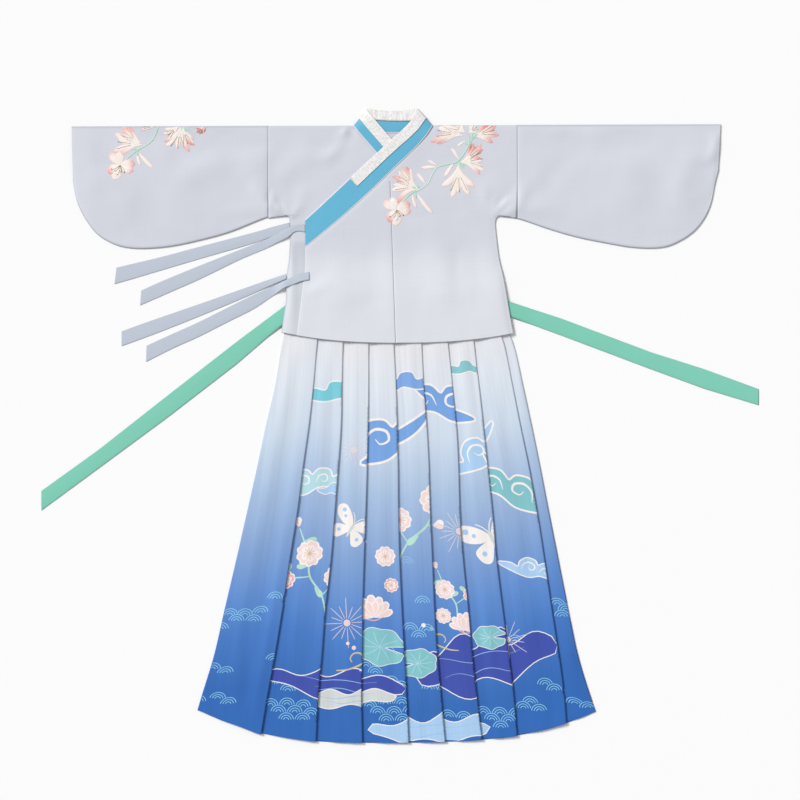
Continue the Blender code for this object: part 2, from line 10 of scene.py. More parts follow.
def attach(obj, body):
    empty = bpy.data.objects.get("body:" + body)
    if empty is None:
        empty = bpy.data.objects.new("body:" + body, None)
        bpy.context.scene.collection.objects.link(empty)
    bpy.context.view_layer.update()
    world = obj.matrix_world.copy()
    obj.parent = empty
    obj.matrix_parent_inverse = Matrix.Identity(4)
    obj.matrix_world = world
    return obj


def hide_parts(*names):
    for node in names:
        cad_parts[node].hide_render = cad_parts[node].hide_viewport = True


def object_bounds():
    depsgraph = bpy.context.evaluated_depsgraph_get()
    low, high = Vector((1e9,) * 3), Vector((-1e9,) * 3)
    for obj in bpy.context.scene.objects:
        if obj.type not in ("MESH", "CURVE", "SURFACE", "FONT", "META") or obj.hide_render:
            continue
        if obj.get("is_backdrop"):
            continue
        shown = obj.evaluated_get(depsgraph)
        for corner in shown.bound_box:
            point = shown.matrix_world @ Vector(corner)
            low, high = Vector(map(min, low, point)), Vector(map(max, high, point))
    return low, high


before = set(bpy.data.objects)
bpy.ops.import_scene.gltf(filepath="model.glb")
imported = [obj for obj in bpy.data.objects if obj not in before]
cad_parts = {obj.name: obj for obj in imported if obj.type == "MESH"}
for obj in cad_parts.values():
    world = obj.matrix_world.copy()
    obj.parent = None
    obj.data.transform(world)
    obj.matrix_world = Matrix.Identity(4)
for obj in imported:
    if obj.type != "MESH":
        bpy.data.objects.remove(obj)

size_at_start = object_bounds()

# A hanfu set laid flat and seen from straight above: a short cross-collar jacket over a long pleated
# wrap skirt. Lengths below are in millimetres, in the part's own frame: +X to the right, +Y towards
# the collar, +Z up, and z = 0 is the surface that the set lies on.


# Jacket body. Pale lavender-grey polyester in a fine plain weave. Each half is cut in one, front and
# back, and folded over at the shoulder. The halves are sewn together down the centre back, and to
# the overlap panel down the centre front.
MM = 0.001
CLOTH = 0.7                 # thickness of one layer of jacket cloth
FLOOR = 0.5                 # middle of a layer that lies on the surface
FRONT = 2.5                 # middle of the fronts and of the sleeves' upper side
OVER = 3.8                  # middle of what lies on a front
STEP = OVER - FRONT
CENTRE = -18.0              # x of the centre back seam
SHOULDER = 692.0            # y of the shoulder fold at x = 0
SLEEVE_SEAMS = {-1: -304.0, 1: 270.0}     # x of each sleeve's seam: -1 the left side, 1 the right side
SEAM_GAP = 0.4              # between two pieces at a seam
SEAM_SINK, SEAM_WIDTH = 0.5, 1.6          # cloth turns down into a seam


def mix(a, b, t):
    """From a to b as t goes from 0 to 1."""
    return a + (b - a) * t


def smooth(t):
    """0 to 1 with a soft start and end."""
    t = min(1.0, max(0.0, t))
    return t * t * (3 - 2 * t)


def along(table, key, column, at):
    """Reads a column of a table at a place between its rows, in a smooth curve through them."""
    rows = sorted(table, key=lambda row: row[key])
    if at <= rows[0][key]:
        return rows[0][column]
    if at >= rows[-1][key]:
        return rows[-1][column]
    k = next(i for i in range(len(rows) - 1) if at <= rows[i + 1][key])
    a, b = rows[k], rows[k + 1]
    before, after = rows[max(k - 1, 0)], rows[min(k + 2, len(rows) - 1)]
    step = b[key] - a[key]
    t = (at - a[key]) / step
    slope_a = (b[column] - before[column]) / (b[key] - before[key]) * step
    slope_b = (after[column] - a[column]) / (after[key] - a[key]) * step
    return (
        (2 * t**3 - 3 * t**2 + 1) * a[column] + (t**3 - 2 * t**2 + t) * slope_a
        + (3 * t**2 - 2 * t**3) * b[column] + (t**3 - t**2) * slope_b
    )


def srgb(red, green, blue):
    """A colour given in 0 to 255, as the linear values that Blender takes."""
    def linear(c):
        c /= 255
        return c / 12.92 if c <= 0.04045 else ((c + 0.055) / 1.055) ** 2.4
    return (linear(red), linear(green), linear(blue), 1.0)


def spaced(start, end, step):
    """Places from start to end, about a step apart."""
    count = max(1, ceil(abs(end - start) / step))
    return [mix(start, end, k / count) for k in range(count + 1)]


def placed(name, data):
    """An object of its own in the scene."""
    made = bpy.data.objects.new(name, data)
    bpy.context.scene.collection.objects.link(made)
    return made


def cloth_piece(name, rows, flat, material, ring=False, thickness=CLOTH):
    """A sheet of cloth through rows of points. flat gives each point's place on the unfolded cloth."""
    across = len(rows[0])
    points = [Vector(point) * MM for row in rows for point in row]
    faces, places = [], []
    for r in range(len(rows) - 1):
        for c in range(across if ring else across - 1):
            d = (c + 1) % across
            faces.append((r * across + c, r * across + d, (r + 1) * across + d, (r + 1) * across + c))
            places += [flat[r][c], flat[r][c + 1], flat[r + 1][c + 1], flat[r + 1][c]]
    mesh = bpy.data.meshes.new(name)
    mesh.from_pydata(points, [], faces)
    unfolded = mesh.uv_layers.new(name="unfolded")
    for corner, (u, v) in zip(unfolded.data, places):
        corner.uv = (u * MM, v * MM)
    mesh.materials.append(material)
    mesh.shade_smooth()
    piece = placed(name, mesh)
    layer = piece.modifiers.new("cloth thickness", "SOLIDIFY")
    layer.thickness = thickness * MM
    layer.offset = 0
    return piece


def mark_edge_shade(piece, values):
    """Marks the sewn or turned edges of a piece, 1 on the edge itself, where its material paints shade."""
    line = piece.data.attributes.new("edge_shade_line", "FLOAT", "POINT")
    line.data.foreach_set("value", values)


def put_in(node, sockets):
    """Fills a node's sockets, each with a value or with what another node gives."""
    for socket, value in sockets.items():
        if isinstance(value, bpy.types.Node):
            value = next(given for given in value.outputs if given.enabled)
        if isinstance(value, bpy.types.NodeSocket):
            node.id_data.links.new(value, node.inputs[socket])
        else:
            node.inputs[socket].default_value = value


def add_node(tree, kind, sockets=(), **options):
    """Adds a shader node, with its options set and its sockets filled."""
    node = tree.nodes.new("ShaderNode" + kind)
    for option, value in options.items():
        setattr(node, option, value)
    put_in(node, dict(sockets))
    return node


def maths(tree, operation, *values):
    """Adds a maths node with these values in its sockets."""
    return add_node(tree, "Math", enumerate(values), operation=operation)


def multiplied(tree, factor, below, above_it, **options):
    """One colour multiplied over another."""
    return add_node(tree, "Mix", {"Factor": factor, "A": below, "B": above_it},
                    data_type="RGBA", blend_type="MULTIPLY", **options)


def ramp_node(tree, factor, stops, **options):
    """A colour ramp. stops: place from 0 to 1, colour."""
    node = add_node(tree, "ValToRGB", {0: factor}, **options)
    elements = node.color_ramp.elements
    elements[0].position, elements[0].color = stops[0]
    elements[1].position, elements[1].color = stops[-1]
    for place, colour in stops[1:-1]:
        elements.new(place).color = colour
    return node


def weave_group():
    """Node group of a plain weave: threads over and under each other, with thicker slubs among them."""
    group = bpy.data.node_groups.new("plain weave", "ShaderNodeTree")
    new = group.interface.new_socket
    new("Place", in_out="INPUT", socket_type="NodeSocketVector")
    new("Threads per metre", in_out="INPUT", socket_type="NodeSocketFloat")
    new("Slub length", in_out="INPUT", socket_type="NodeSocketFloat")
    new("Thread height", in_out="OUTPUT", socket_type="NodeSocketFloat")
    new("Slub", in_out="OUTPUT", socket_type="NodeSocketFloat")
    given, result = group.nodes.new("NodeGroupInput"), group.nodes.new("NodeGroupOutput")
    place, length = given.outputs["Place"], given.outputs["Slub length"]
    split = add_node(group, "SeparateXYZ", {0: place})
    turns = maths(group, "MULTIPLY", given.outputs["Threads per metre"], pi)
    warp = maths(group, "SINE", maths(group, "MULTIPLY", split.outputs["X"], turns))
    weft = maths(group, "SINE", maths(group, "MULTIPLY", split.outputs["Y"], turns))
    slubs = []
    for stretch in ((1.0, 90.0, 1.0), (90.0, 1.0, 1.0)):
        scale = add_node(group, "Mapping", {"Vector": place, "Scale": stretch})
        slubs.append(add_node(group, "TexNoise", {"Vector": scale, "Scale": length, "Detail": 2.0}))
    put_in(result, {
        "Thread height": maths(group, "MULTIPLY", warp, weft),
        "Slub": maths(group, "SUBTRACT", maths(group, "ADD", *slubs), 1.0),
    })
    return group


def painted_edge_shade_group():
    """Node group of painted shade: it darkens cloth where its surface turns down, and along marked lines at
    hems, folds and seams.
    """
    group = bpy.data.node_groups.new("painted edge shade", "ShaderNodeTree")
    new = group.interface.new_socket
    new("Colour", in_out="INPUT", socket_type="NodeSocketColor")
    new("Edge shade colour", in_out="INPUT", socket_type="NodeSocketColor")
    new("Edge shade line", in_out="INPUT", socket_type="NodeSocketFloat")
    new("Colour", in_out="OUTPUT", socket_type="NodeSocketColor")
    given, result = group.nodes.new("NodeGroupInput"), group.nodes.new("NodeGroupOutput")
    surface = add_node(group, "NewGeometry")
    split = add_node(group, "SeparateXYZ", {0: surface.outputs["Normal"]})
    turned = add_node(group, "MapRange", {
        "Value": maths(group, "ABSOLUTE", split.outputs["Z"]), "From Min": 0.96, "From Max": 0.55,
    }, interpolation_type="SMOOTHSTEP")
    line = maths(group, "MULTIPLY", given.outputs["Edge shade line"], 0.55)
    either = maths(group, "MAXIMUM", turned, line)
    put_in(result, {
        "Colour": multiplied(group, either, given.outputs["Colour"], given.outputs["Edge shade colour"]),
    })
    return group


plain_weave = weave_group()
painted_edge_shade = painted_edge_shade_group()


# edge: the colour of the painted shade at turned and marked edges
def cloth_material(name, colour, roughness=0.85, sheen=0.25, threads=1400.0, slub=14.0,
                   thread_height=0.00005, streaks=0.05, painted_shade=None, edge=(0.42, 0.43, 0.5, 1.0)):
    """A woven cloth: its dye is uneven along the slubs, its threads stand a little, and shade is painted
    along its turned and marked edges.
    """
    material = bpy.data.materials.new(name)
    material.use_nodes = True
    tree = material.node_tree
    place = add_node(tree, "UVMap", uv_map="unfolded")
    weave = add_node(tree, "Group", {
        "Place": place, "Threads per metre": threads, "Slub length": slub,
    }, node_tree=plain_weave, name="weave")
    spread = add_node(tree, "MapRange", {"Value": weave.outputs["Slub"], "From Min": -0.35, "From Max": 0.35})
    darker = tuple(c * (1 - streaks) for c in colour[:3]) + (1.0,)
    dyed = add_node(tree, "Mix", {"Factor": spread, "A": colour, "B": darker}, data_type="RGBA", name="dye")
    if painted_shade:
        # Painted shade: the jacket's upper part is darkened a little, and the left front under the overlap
        # panel gets a painted shadow
        split = add_node(tree, "SeparateXYZ", {0: place})
        lower = add_node(tree, "MapRange", {
            "Value": maths(tree, "ABSOLUTE", split.outputs["Y"]), "From Min": 0.24, "From Max": 0.36,
        }, interpolation_type="SMOOTHSTEP")
        dyed = multiplied(tree, maths(tree, "SUBTRACT", 1.0, lower), dyed, painted_shade)
        overlap_shadow_paint = add_node(tree, "Attribute", attribute_name="overlap_painted_shadow")
        dyed = multiplied(tree, overlap_shadow_paint.outputs["Fac"], dyed, (0.84, 0.86, 0.87, 1.0))
    # Painted shade where the cloth turns down and along its marked edges
    edge_shade_mask = add_node(tree, "Attribute", attribute_name="edge_shade_line")
    turned = add_node(tree, "Group", {
        "Colour": dyed, "Edge shade colour": edge, "Edge shade line": edge_shade_mask.outputs["Fac"],
    }, node_tree=painted_edge_shade, name="painted edge shade")
    rough = add_node(tree, "MapRange", {
        "Value": weave.outputs["Thread height"], "From Min": -1.0,
        "To Min": roughness - 0.08, "To Max": roughness + 0.08,
    })
    slubs = add_node(tree, "Bump", {"Height": weave.outputs["Slub"], "Distance": 0.0002, "Strength": 0.3})
    bump = add_node(tree, "Bump", {
        "Height": weave.outputs["Thread height"], "Distance": thread_height, "Strength": 0.5, "Normal": slubs,
    })
    put_in(tree.nodes["Principled BSDF"], {
        "Base Color": turned, "Roughness": rough, "Normal": bump,
        "Sheen Weight": sheen, "Sheen Roughness": 0.5, "Specular IOR Level": 0.25,
    })
    return material


# Creases in the jacket: x and y of both ends, width, height, sideways bow.
JACKET_CREASES = [
    # x0, y0, x1, y1, width, height, bow
    (-262, 488, -345, 560, 16, 1.1, 8),
    (-255, 476, -215, 560, 14, 0.8, -6),
    (-250, 470, -410, 500, 18, 0.9, -10),
    (-290, 650, -520, 655, 30, -0.9, 6),
    (-690, 600, -610, 470, 34, 1.0, 14),
    (-560, 640, -430, 460, 40, 0.7, -20),
    (-400, 620, -360, 480, 30, -0.6, 10),
    (-120, 688, -180, 600, 12, 0.9, 6),
    (-100, 672, -230, 640, 16, -0.6, 8),
    (226, 492, 300, 560, 16, 1.1, -8),
    (222, 486, 190, 570, 14, 0.8, 8),
    (224, 480, 380, 500, 20, 0.9, 10),
    (300, 655, 640, 650, 30, -0.9, -8),
    (690, 640, 640, 480, 30, 1.0, -16),
    (728, 672, 705, 600, 12, 0.9, 5),
    (560, 620, 470, 460, 40, 0.7, 18),
    (80, 420, 110, 250, 34, 0.9, 8),
    (170, 430, 160, 260, 30, -0.7, -8),
    (10, 470, 130, 380, 26, 0.6, 10),
    (-150, 400, -120, 240, 30, 0.7, -6),
    (-70, 420, -60, 240, 26, -0.6, 6),
    (-214, 300, -150, 330, 14, 0.6, 4),
    (-280, 560, -180, 640, 24, 0.7, 8),
    (120, 640, 220, 560, 24, -0.7, -8),
    (222, 486, 252, 524, 6, 0.9, 3),
    (225, 484, 268, 500, 6, 0.8, -3),
    (220, 482, 224, 536, 6, 0.8, 3),
    (-256, 478, -292, 508, 7, 0.8, -3),
    (-254, 480, -264, 528, 6, 0.9, 2),
    (-250, 476, -226, 512, 6, 0.7, 3),
    (-124, 694, -130, 664, 7, 0.9, 2),
    (-112, 694, -112, 668, 6, -0.8, 2),
    (-250, 424, -248, 236, 7, 0.4, 2),
    (-237, 414, -239, 226, 6, -0.4, 2),
    (-304, 500, -318, 540, 7, 0.7, 2),
    (-304, 498, -286, 544, 7, 0.7, -2),
    (270, 494, 282, 540, 7, 0.7, -2),
    (-740, 690, -700, 520, 30, 0.8, 10),
    (-620, 690, -480, 610, 26, -0.7, 12),
    (-520, 560, -400, 640, 30, 0.8, -10),
    (420, 690, 560, 590, 30, 0.8, -12),
    (330, 540, 420, 640, 28, -0.7, 10),
]
ROLLING = 1.1               # height of the low rolling between the creases


def crease_height(x, y, seed=0.0):
    """Soft ridges and troughs at a place, over a low rolling of the whole cloth."""
    height = ROLLING * noise.noise(Vector((x / 95.0, y / 95.0, seed)))
    height += 0.35 * ROLLING * noise.noise(Vector((x / 34.0, y / 34.0, seed + 7.0)))
    for x0, y0, x1, y1, width, high, bow in JACKET_CREASES:
        run = Vector((x1 - x0, y1 - y0))
        span = run.length
        run /= span
        t = ((x - x0) * run.x + (y - y0) * run.y) / span
        if not -0.1 < t < 1.1:
            continue
        aside = (y - y0) * run.x - (x - x0) * run.y - bow * sin(pi * min(1.0, max(0.0, t)))
        if abs(aside) > 5 * width:
            continue
        wide = width * (0.8 + 0.5 * t)
        q = aside / wide
        fade = smooth((t + 0.1) / 0.35) * smooth((1.1 - t) / 0.45)
        height += 2.3 * high * fade * (exp(-q * q) - 0.35 * exp(-((q - 1.6) ** 2)))
    return height


LIFT, LIFT_FROM, LIFT_FULL = 5.8, 400.0, 292.0      # the jacket climbs onto the skirt between these
CLEAR = 0.85                # least distance between the middles of two layers


def lift(y):
    """How far the skirt raises the jacket's lower part."""
    return LIFT * smooth((LIFT_FROM - y) / (LIFT_FROM - LIFT_FULL))


def above(z, under):
    """Keeps the upper cloth off the one below it, by a soft stop."""
    gap = z - under - CLEAR
    return under + CLEAR + 0.5 * (gap + (gap * gap + 0.2) ** 0.5)


def shoulder_at(x):
    """Height of the shoulder fold, which leans a little."""
    return SHOULDER + 0.0035 * x


def jacket_hem(x):
    """Height of the jacket's hem, which hangs lower in the middle than at the sides."""
    return 214.5 - 23.5 * (1 - min(1.0, abs(x) / 268.0) ** 2.4)


def centre_seam(y):
    """The seam between the right front and the overlap panel, which leans a little."""
    return mix(-10.0, -23.0, (y - 191.0) / (564.0 - 191.0))


# Side edges below the underarm. down: distance below the shoulder fold.
SIDE_EDGE = {
    -1: [
        # down, x
        (206.0, -262.0), (209.5, -256.0), (214.0, -254.6), (224.0, -254.0), (255.0, -253.0),
        (308.0, -256.0), (349.0, -261.0), (402.0, -262.5), (437.0, -267.5), (477.5, -273.0),
    ],
    1: [
        (208.0, 230.0), (211.5, 224.5), (216.0, 221.2), (226.0, 219.5), (255.0, 222.0),
        (308.0, 228.5), (349.0, 238.0), (402.0, 247.5), (437.0, 253.5), (477.5, 261.0),
    ],
}
# The neck's edge on the back. down, x.
BACK_NECK = {
    -1: [(1.5, -109.0), (10.0, -95.0), (16.0, -64.0), (19.0, -18.0)],
    1: [(1.5, 78.0), (10.0, 60.0), (16.0, 29.0), (19.0, -18.0)],
}
# The neck's edge on each front, where the collar band is sewn. y, x.
FRONT_NECK = {
    -1: [(611.5, -39.5), (629.0, -55.0), (652.5, -75.5), (676.3, -96.3), (691.0, -108.5)],
    1: [(567.0, -40.0), (604.5, -2.0), (623.5, 19.0), (650.0, 45.0), (670.0, 62.0), (692.0, 77.0)],
}
NECK_END = {-1: 80.5, 1: 124.0}           # how far down each front its neck edge runs
ARMPIT_REACH = {-1: 26.0, 1: 45.0}        # how far from a sleeve's seam the underarm's arch drops
TUCK = 3.0                  # how far a front runs on under the collar band
FAN, FAN_RISE = 8, 76.0     # columns beside the side edge that spread at the underarm, from how far up
ARCH_DEPTH, ARCH_RISE = 7.0, 31.0         # the underarm's arch: its depth, and from how far up
HEM = 477.5                 # the hem's distance from the shoulder


def jacket_row_height(down, x):
    """Height of a row at x. The lowest rows take on the hem's curve."""
    bend = smooth((down - 300.0) / (HEM - 300.0))
    return mix(shoulder_at(x) - down, jacket_hem(x) - (down - HEM), bend)


def body_half_edges(down, side, front):
    """Where a row of a body half starts and ends."""
    underarm = SIDE_EDGE[side][0][0]
    outer = SLEEVE_SEAMS[side] if down <= underarm else along(SIDE_EDGE[side], 0, 1, down)
    if not front:
        return outer, (along(BACK_NECK[side], 0, 1, down) if down < 19.0 else CENTRE)
    if down < NECK_END[side]:
        return outer, along(FRONT_NECK[side], 0, 1, SHOULDER - down) - side * TUCK
    if side < 0:
        return outer, CENTRE
    return outer, centre_seam(jacket_row_height(down, CENTRE)) + SEAM_GAP / 2


def body_half_height(x, y, down, side, front, outer, inner):
    """Height of the cloth's middle, over the layers and creases under it."""
    aside = abs(x - outer)
    raised = lift(y) * (1 - 0.3 * smooth(1 - aside / 16.0))
    puckers = 0.5 * max(0.0, crease_height(-x, y, 4.0))
    back = FLOOR + min(0.9, puckers)
    if not front:
        return back + raised
    z = FRONT
    if side > 0:
        over_panel = STEP * smooth(1 - (x - CENTRE) / 60.0)
        under_collar = 1.6 * smooth(1 - ((x - 10) ** 2 + (y - 640) ** 2) ** 0.5 / 70.0)
        z += max(over_panel, under_collar)
    z += crease_height(x, y) * smooth(down / 14.0)
    underarm, armpit = SIDE_EDGE[side][0]
    if down > underarm:
        z -= 0.8 * smooth(1 - aside / 14.0)
    else:
        inside = 0.8 * smooth(1 - max(0.0, abs(armpit) - abs(x)) / 14.0)
        sunk = mix(inside, 1.1, smooth((abs(x) - abs(armpit) + 2.0) / 8.0))
        z -= sunk * smooth(1 - (underarm - down) / 14.0)
        z -= SEAM_SINK * exp(-((aside / SEAM_WIDTH) ** 2))
    if down < NECK_END[side]:
        z -= 0.9 * smooth(1 - (abs(x - inner) - TUCK) / 4.0)
    elif side > 0:
        z -= SEAM_SINK * exp(-((abs(x - inner) / SEAM_WIDTH) ** 2))
    return above(z, back) + raised


def shares_between(start, end, edges=(0.9, 2.0, 4.0)):
    """Shares of the way from start to end, 9 mm apart and closer together beside both edges."""
    span = abs(end - start)
    inside = spaced(edges[-1] / span, 1 - edges[-1] / span, 9.0 / span)
    near = [e / span for e in edges[:-1]]
    return [0.0] + near + inside + [1 - e for e in reversed(near)] + [1.0]


def body_half(name, side, material):
    """Rows of cloth from the back's hem up over the shoulder fold and down to the front's hem."""
    underarm, armpit = SIDE_EDGE[side][0]
    downs = (
        spaced(2.0, 19.0, 4.0) + spaced(19.0, underarm - 3.0, 7.0)[1:] + [underarm - 1.5, underarm]
        + spaced(underarm + 0.1, underarm + 10.0, 1.5) + spaced(underarm + 10.0, HEM - 4.0, 8.0)[1:]
        + [HEM - 2.0, HEM - 0.8, HEM]
    )
    shares = shares_between(SLEEVE_SEAMS[side], CENTRE, edges=(0.9, 1.8, 2.8, 4.0, 5.4, 7.0, 9.0, 12.0))
    rows, flat, lines = [], [], []

    def add(down, front):
        outer, inner = body_half_edges(down, side, front)
        row, places = [], []
        line = []
        for k, share in enumerate(shares):
            x = mix(outer, inner, share) - side * SEAM_GAP / 2 * (1 - share)
            y = jacket_row_height(down, x)
            if down <= underarm:
                spread = mix(armpit, inner, share)
                if k < FAN:
                    spread = mix(outer, mix(armpit, inner, shares[FAN]), k / FAN)
                spread -= side * SEAM_GAP / 2 * (1 - share)
                x = mix(x, spread, smooth(1 - (underarm - down) / FAN_RISE))
                near = max(0.0, 1 - abs(x - outer) / ARMPIT_REACH[side])
                y = jacket_row_height(down, x)
                y -= ARCH_DEPTH * near * max(0.0, 1 - (underarm - down) / ARCH_RISE)
            z = body_half_height(x, y, down, side, front, outer, inner)
            row.append((x, y, z))
            places.append((x, -down if front else down))
            # Painted shade along the side edges, the underarm and the hem
            at_side = max(0.0, 1 - abs(x - outer) / 2.6) if down > underarm else 0.0
            beyond = down <= underarm and abs(x) > abs(armpit)
            at_underarm = max(0.0, 1 - (underarm - down) / 2.0) if beyond else 0.0
            line.append(max(at_side, at_underarm, 1 - (HEM - down) / 2.0))
        rows.append(row)
        flat.append(places)
        lines.append(line)

    for down in reversed(downs):
        add(down, False)
    add(downs[0], True)
    first, last = rows[-2], rows.pop()
    place = flat.pop()
    # Painted shade along the shoulder fold
    fold_line = [0.7] * len(lines.pop())
    for k in range(1, 6):
        angle = pi / 2 - pi * k / 6
        rows.append([
            (b[0], b[1] + 1.0 * cos(angle), mix(a[2], b[2], (1 - sin(angle)) / 2))
            for a, b in zip(first, last)
        ])
        flat.append([(u, v) for u, v in place])
        lines.append(fold_line)
    for down in downs:
        add(down, True)
    half = cloth_piece(name, rows, flat, material)
    mark_edge_shade(half, [value for line in lines for value in line])
    return half


# The jacket cloth, with painted shade over its upper part
jacket_cloth = cloth_material("jacket cloth", srgb(216, 219, 226), painted_shade=(0.905, 0.905, 0.925, 1.0))
left_half = body_half("jacket_left_half", -1, jacket_cloth)
right_half = body_half("jacket_right_half", 1, jacket_cloth)
# Painted shadow on the left front where the overlap panel lies over it
overlap_painted_shadow = left_half.data.attributes.new("overlap_painted_shadow", "FLOAT", "POINT")
for point, shade in zip(left_half.data.vertices, overlap_painted_shadow.data):
    x, y, _ = point.co / MM
    shade.value = smooth((432.0 - y) / 16.0) * mix(0.3, 1.0, smooth((x + 256.0) / 20.0))
for half, node in ((left_half, "body_left"), (right_half, "body_right")):
    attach(half, "root")
    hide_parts(node)


# Overlap panel: the same cloth, sewn to the right front down the centre seam. It crosses to the left
# side of the body, and its slanted upper edge is sewn into the collar band.
OVERLAP_TOP = [
    # x, y
    (-218.5, 410.5), (-151.0, 465.0), (-98.0, 510.5), (-24.0, 580.5),
]
OVERLAP_EDGE = [
    # y, x
    (411.0, -218.5), (356.0, -219.5), (315.0, -225.0), (208.0, -238.0),
]


def overlap_panel(material):
    """Rows of cloth from the slanted upper edge down to the hem."""
    rows, flat = [], []
    shares = shares_between(-220.0, -20.0)
    drops = shares_between(550.0, 200.0)
    for drop in drops:
        row, places = [], []
        for share in shares:
            x = mix(-218.5, -24.0, share)
            for _ in range(3):
                top = along(OVERLAP_TOP, 0, 1, x) + TUCK * (1 - drop)
                y = mix(top, jacket_hem(x), drop)
                left, right = along(OVERLAP_EDGE, 0, 1, y), centre_seam(y) - SEAM_GAP / 2
                x = mix(left, right, share)
            z = OVER + lift(y) + crease_height(x, y)
            z -= SEAM_SINK * exp(-((right - x) / SEAM_WIDTH) ** 2)
            z -= 0.8 * smooth(1 - (along(OVERLAP_TOP, 0, 1, x) + TUCK - y) / 6.0)
            z -= 0.5 * smooth(1 - (x - left) / 3.0)
            row.append((x, y, z))
            places.append((x, y - shoulder_at(x)))
        rows.append(row)
        flat.append(places)
    return cloth_piece("jacket_overlap_panel", rows, flat, material)


overlap = overlap_panel(jacket_cloth)
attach(overlap, "root")
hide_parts("overlap_front")


# Sleeves: wide and rounded, each one piece of the jacket cloth folded at the shoulder line and sewn
# along its curved underside, then sewn to the body at a straight seam.
# top: x on the fold. x, y: the point of the curved edge that the row of cloth ends at.
SLEEVE_EDGE = {
    -1: [
        # top, x, y
        (-304.0, -304.0, 480.5), (-330.0, -326.0, 472.5), (-395.0, -395.0, 445.0),
        (-465.0, -465.0, 426.0), (-530.0, -525.0, 413.5), (-590.0, -575.0, 408.5),
        (-630.0, -612.0, 408.5), (-668.0, -645.0, 413.5), (-698.0, -674.0, 425.5),
        (-720.0, -697.0, 441.0), (-734.0, -717.0, 465.0), (-745.0, -733.0, 492.0),
        (-751.0, -745.0, 522.0), (-755.6, -753.5, 568.0),
    ],
    1: [
        (270.0, 270.0, 477.0), (292.0, 290.0, 471.0), (345.0, 345.0, 452.0),
        (410.0, 408.0, 434.0), (475.0, 472.0, 421.0), (535.0, 527.0, 411.5),
        (585.0, 575.0, 408.5), (625.0, 612.0, 412.0), (655.0, 640.0, 423.0),
        (682.0, 665.0, 438.0), (702.0, 686.0, 457.0), (717.0, 704.0, 483.0),
        (728.0, 717.0, 515.0), (733.0, 726.0, 560.0), (738.0, 734.0, 590.0),
    ],
}
SLEEVE_SWELL = 2.2          # how far the upper side stands off the lower one in the middle


def smooth_point(points, t):
    """A point of a smooth curve through the given ones. t counts them from 0 at the first."""
    k = min(int(t), len(points) - 2)
    f = t - k
    p, q, r, s = (points[min(max(k + j, 0), len(points) - 1)] for j in (-1, 0, 1, 2))
    return tuple(
        0.5 * (2 * b + (c - a) * f + (2 * a - 5 * b + 4 * c - d) * f**2 + (3 * b - a - 3 * c + d) * f**3)
        for a, b, c, d in zip(p, q, r, s)
    )


def sleeve(name, side, material):
    """Each ring of cloth runs from the lower side's curved edge up over the fold and back."""
    table = SLEEVE_EDGE[side]
    radius = 1.0
    inset = radius + 0.5
    stations = [0.0, 0.04, 0.1]
    for k in range(len(table) - 1):
        length = (Vector(table[k + 1][1:]) - Vector(table[k][1:])).length
        stations += [k + f for f in spaced(0, 1, 9.0 / length)[1:]]
    stations = [s for s in stations if s <= 0.1 or s > 0.2]
    across = [0.0, 0.008, 0.02] + [k / 30 for k in range(1, 30)] + [0.98, 0.992, 1.0]
    # Painted shade beside the curved edge and the fold, and over the turns of both
    beside_edge = [1.0, 0.35, 0.0] + [0.0] * 29 + [0.0, 0.3, 0.7]
    rings, flat, lines = [], [], []
    for t in stations:
        top, x, y = smooth_point(table, t)
        _, x_next, y_next = smooth_point(table, min(t + 0.05, len(table) - 1))
        _, x_last, y_last = smooth_point(table, max(t - 0.05, 0))
        run = Vector((x_next - x_last, y_next - y_last)).normalized()
        inward = Vector((-run.y, run.x)) * side
        if t == 0:
            inward = Vector((0, 1))
        top += side * SEAM_GAP / 2 * (1 - min(1.0, t))
        x += side * SEAM_GAP / 2 * (1 - min(1.0, t))
        length = t / (len(table) - 1)
        upper = Vector((top, shoulder_at(top) - inset))
        lower = Vector((x, y)) + inward * inset
        under, over, under_flat, over_flat = [], [], [], []
        for f in across:
            at = lower.lerp(upper, f)
            from_seam = abs(at.x - SLEEVE_SEAMS[side])
            swell = SLEEVE_SWELL * sin(pi * f) ** 0.8 * sin(pi * min(1.0, 0.9 * length)) ** 0.7
            edge_fade = smooth(f * 12) * smooth((1 - f) * 12)
            crease = crease_height(at.x, at.y) * edge_fade
            puckers = 0.5 * max(0.0, crease_height(-at.x, at.y, 4.0)) * edge_fade
            sink = SEAM_SINK * exp(-((from_seam / SEAM_WIDTH) ** 2))
            back = FLOOR + min(0.9, puckers)
            under.append((at.x, at.y, back))
            over.append((at.x, at.y, above(FRONT + swell + crease - sink, back)))
            reach = shoulder_at(at.x) - at.y
            under_flat.append((at.x, reach))
            over_flat.append((at.x, -reach))
        middle = FLOOR + radius
        fold, edge, edge_flat = [], [], []
        for k in range(1, 6):
            a = pi / 2 - pi * k / 6
            fold.append((upper.x, upper.y + radius * cos(a), middle - radius * sin(a)))
            at = lower - inward * radius * cos(a)
            edge.append((at.x, at.y, middle + radius * sin(a)))
            edge_flat.append((at.x, at.y - shoulder_at(at.x)))
        rings.append(under + fold + over[::-1] + edge)
        fold_flat = [(upper.x, (2 - k) * 0.5) for k in range(5)]
        flat.append(under_flat + fold_flat + over_flat[::-1] + edge_flat + [edge_flat[-1]])
        lines += beside_edge + [0.7] * 5 + beside_edge[::-1] + [1.0] * 5
    made = cloth_piece(name, rings, flat, material, ring=True)
    mark_edge_shade(made, lines)
    return made


left_sleeve = sleeve("left_sleeve", -1, jacket_cloth)
right_sleeve = sleeve("right_sleeve", 1, jacket_cloth)
for piece, node in ((left_sleeve, "sleeve_left"), (right_sleeve, "sleeve_right")):
    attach(piece, "root")
    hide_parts(node)


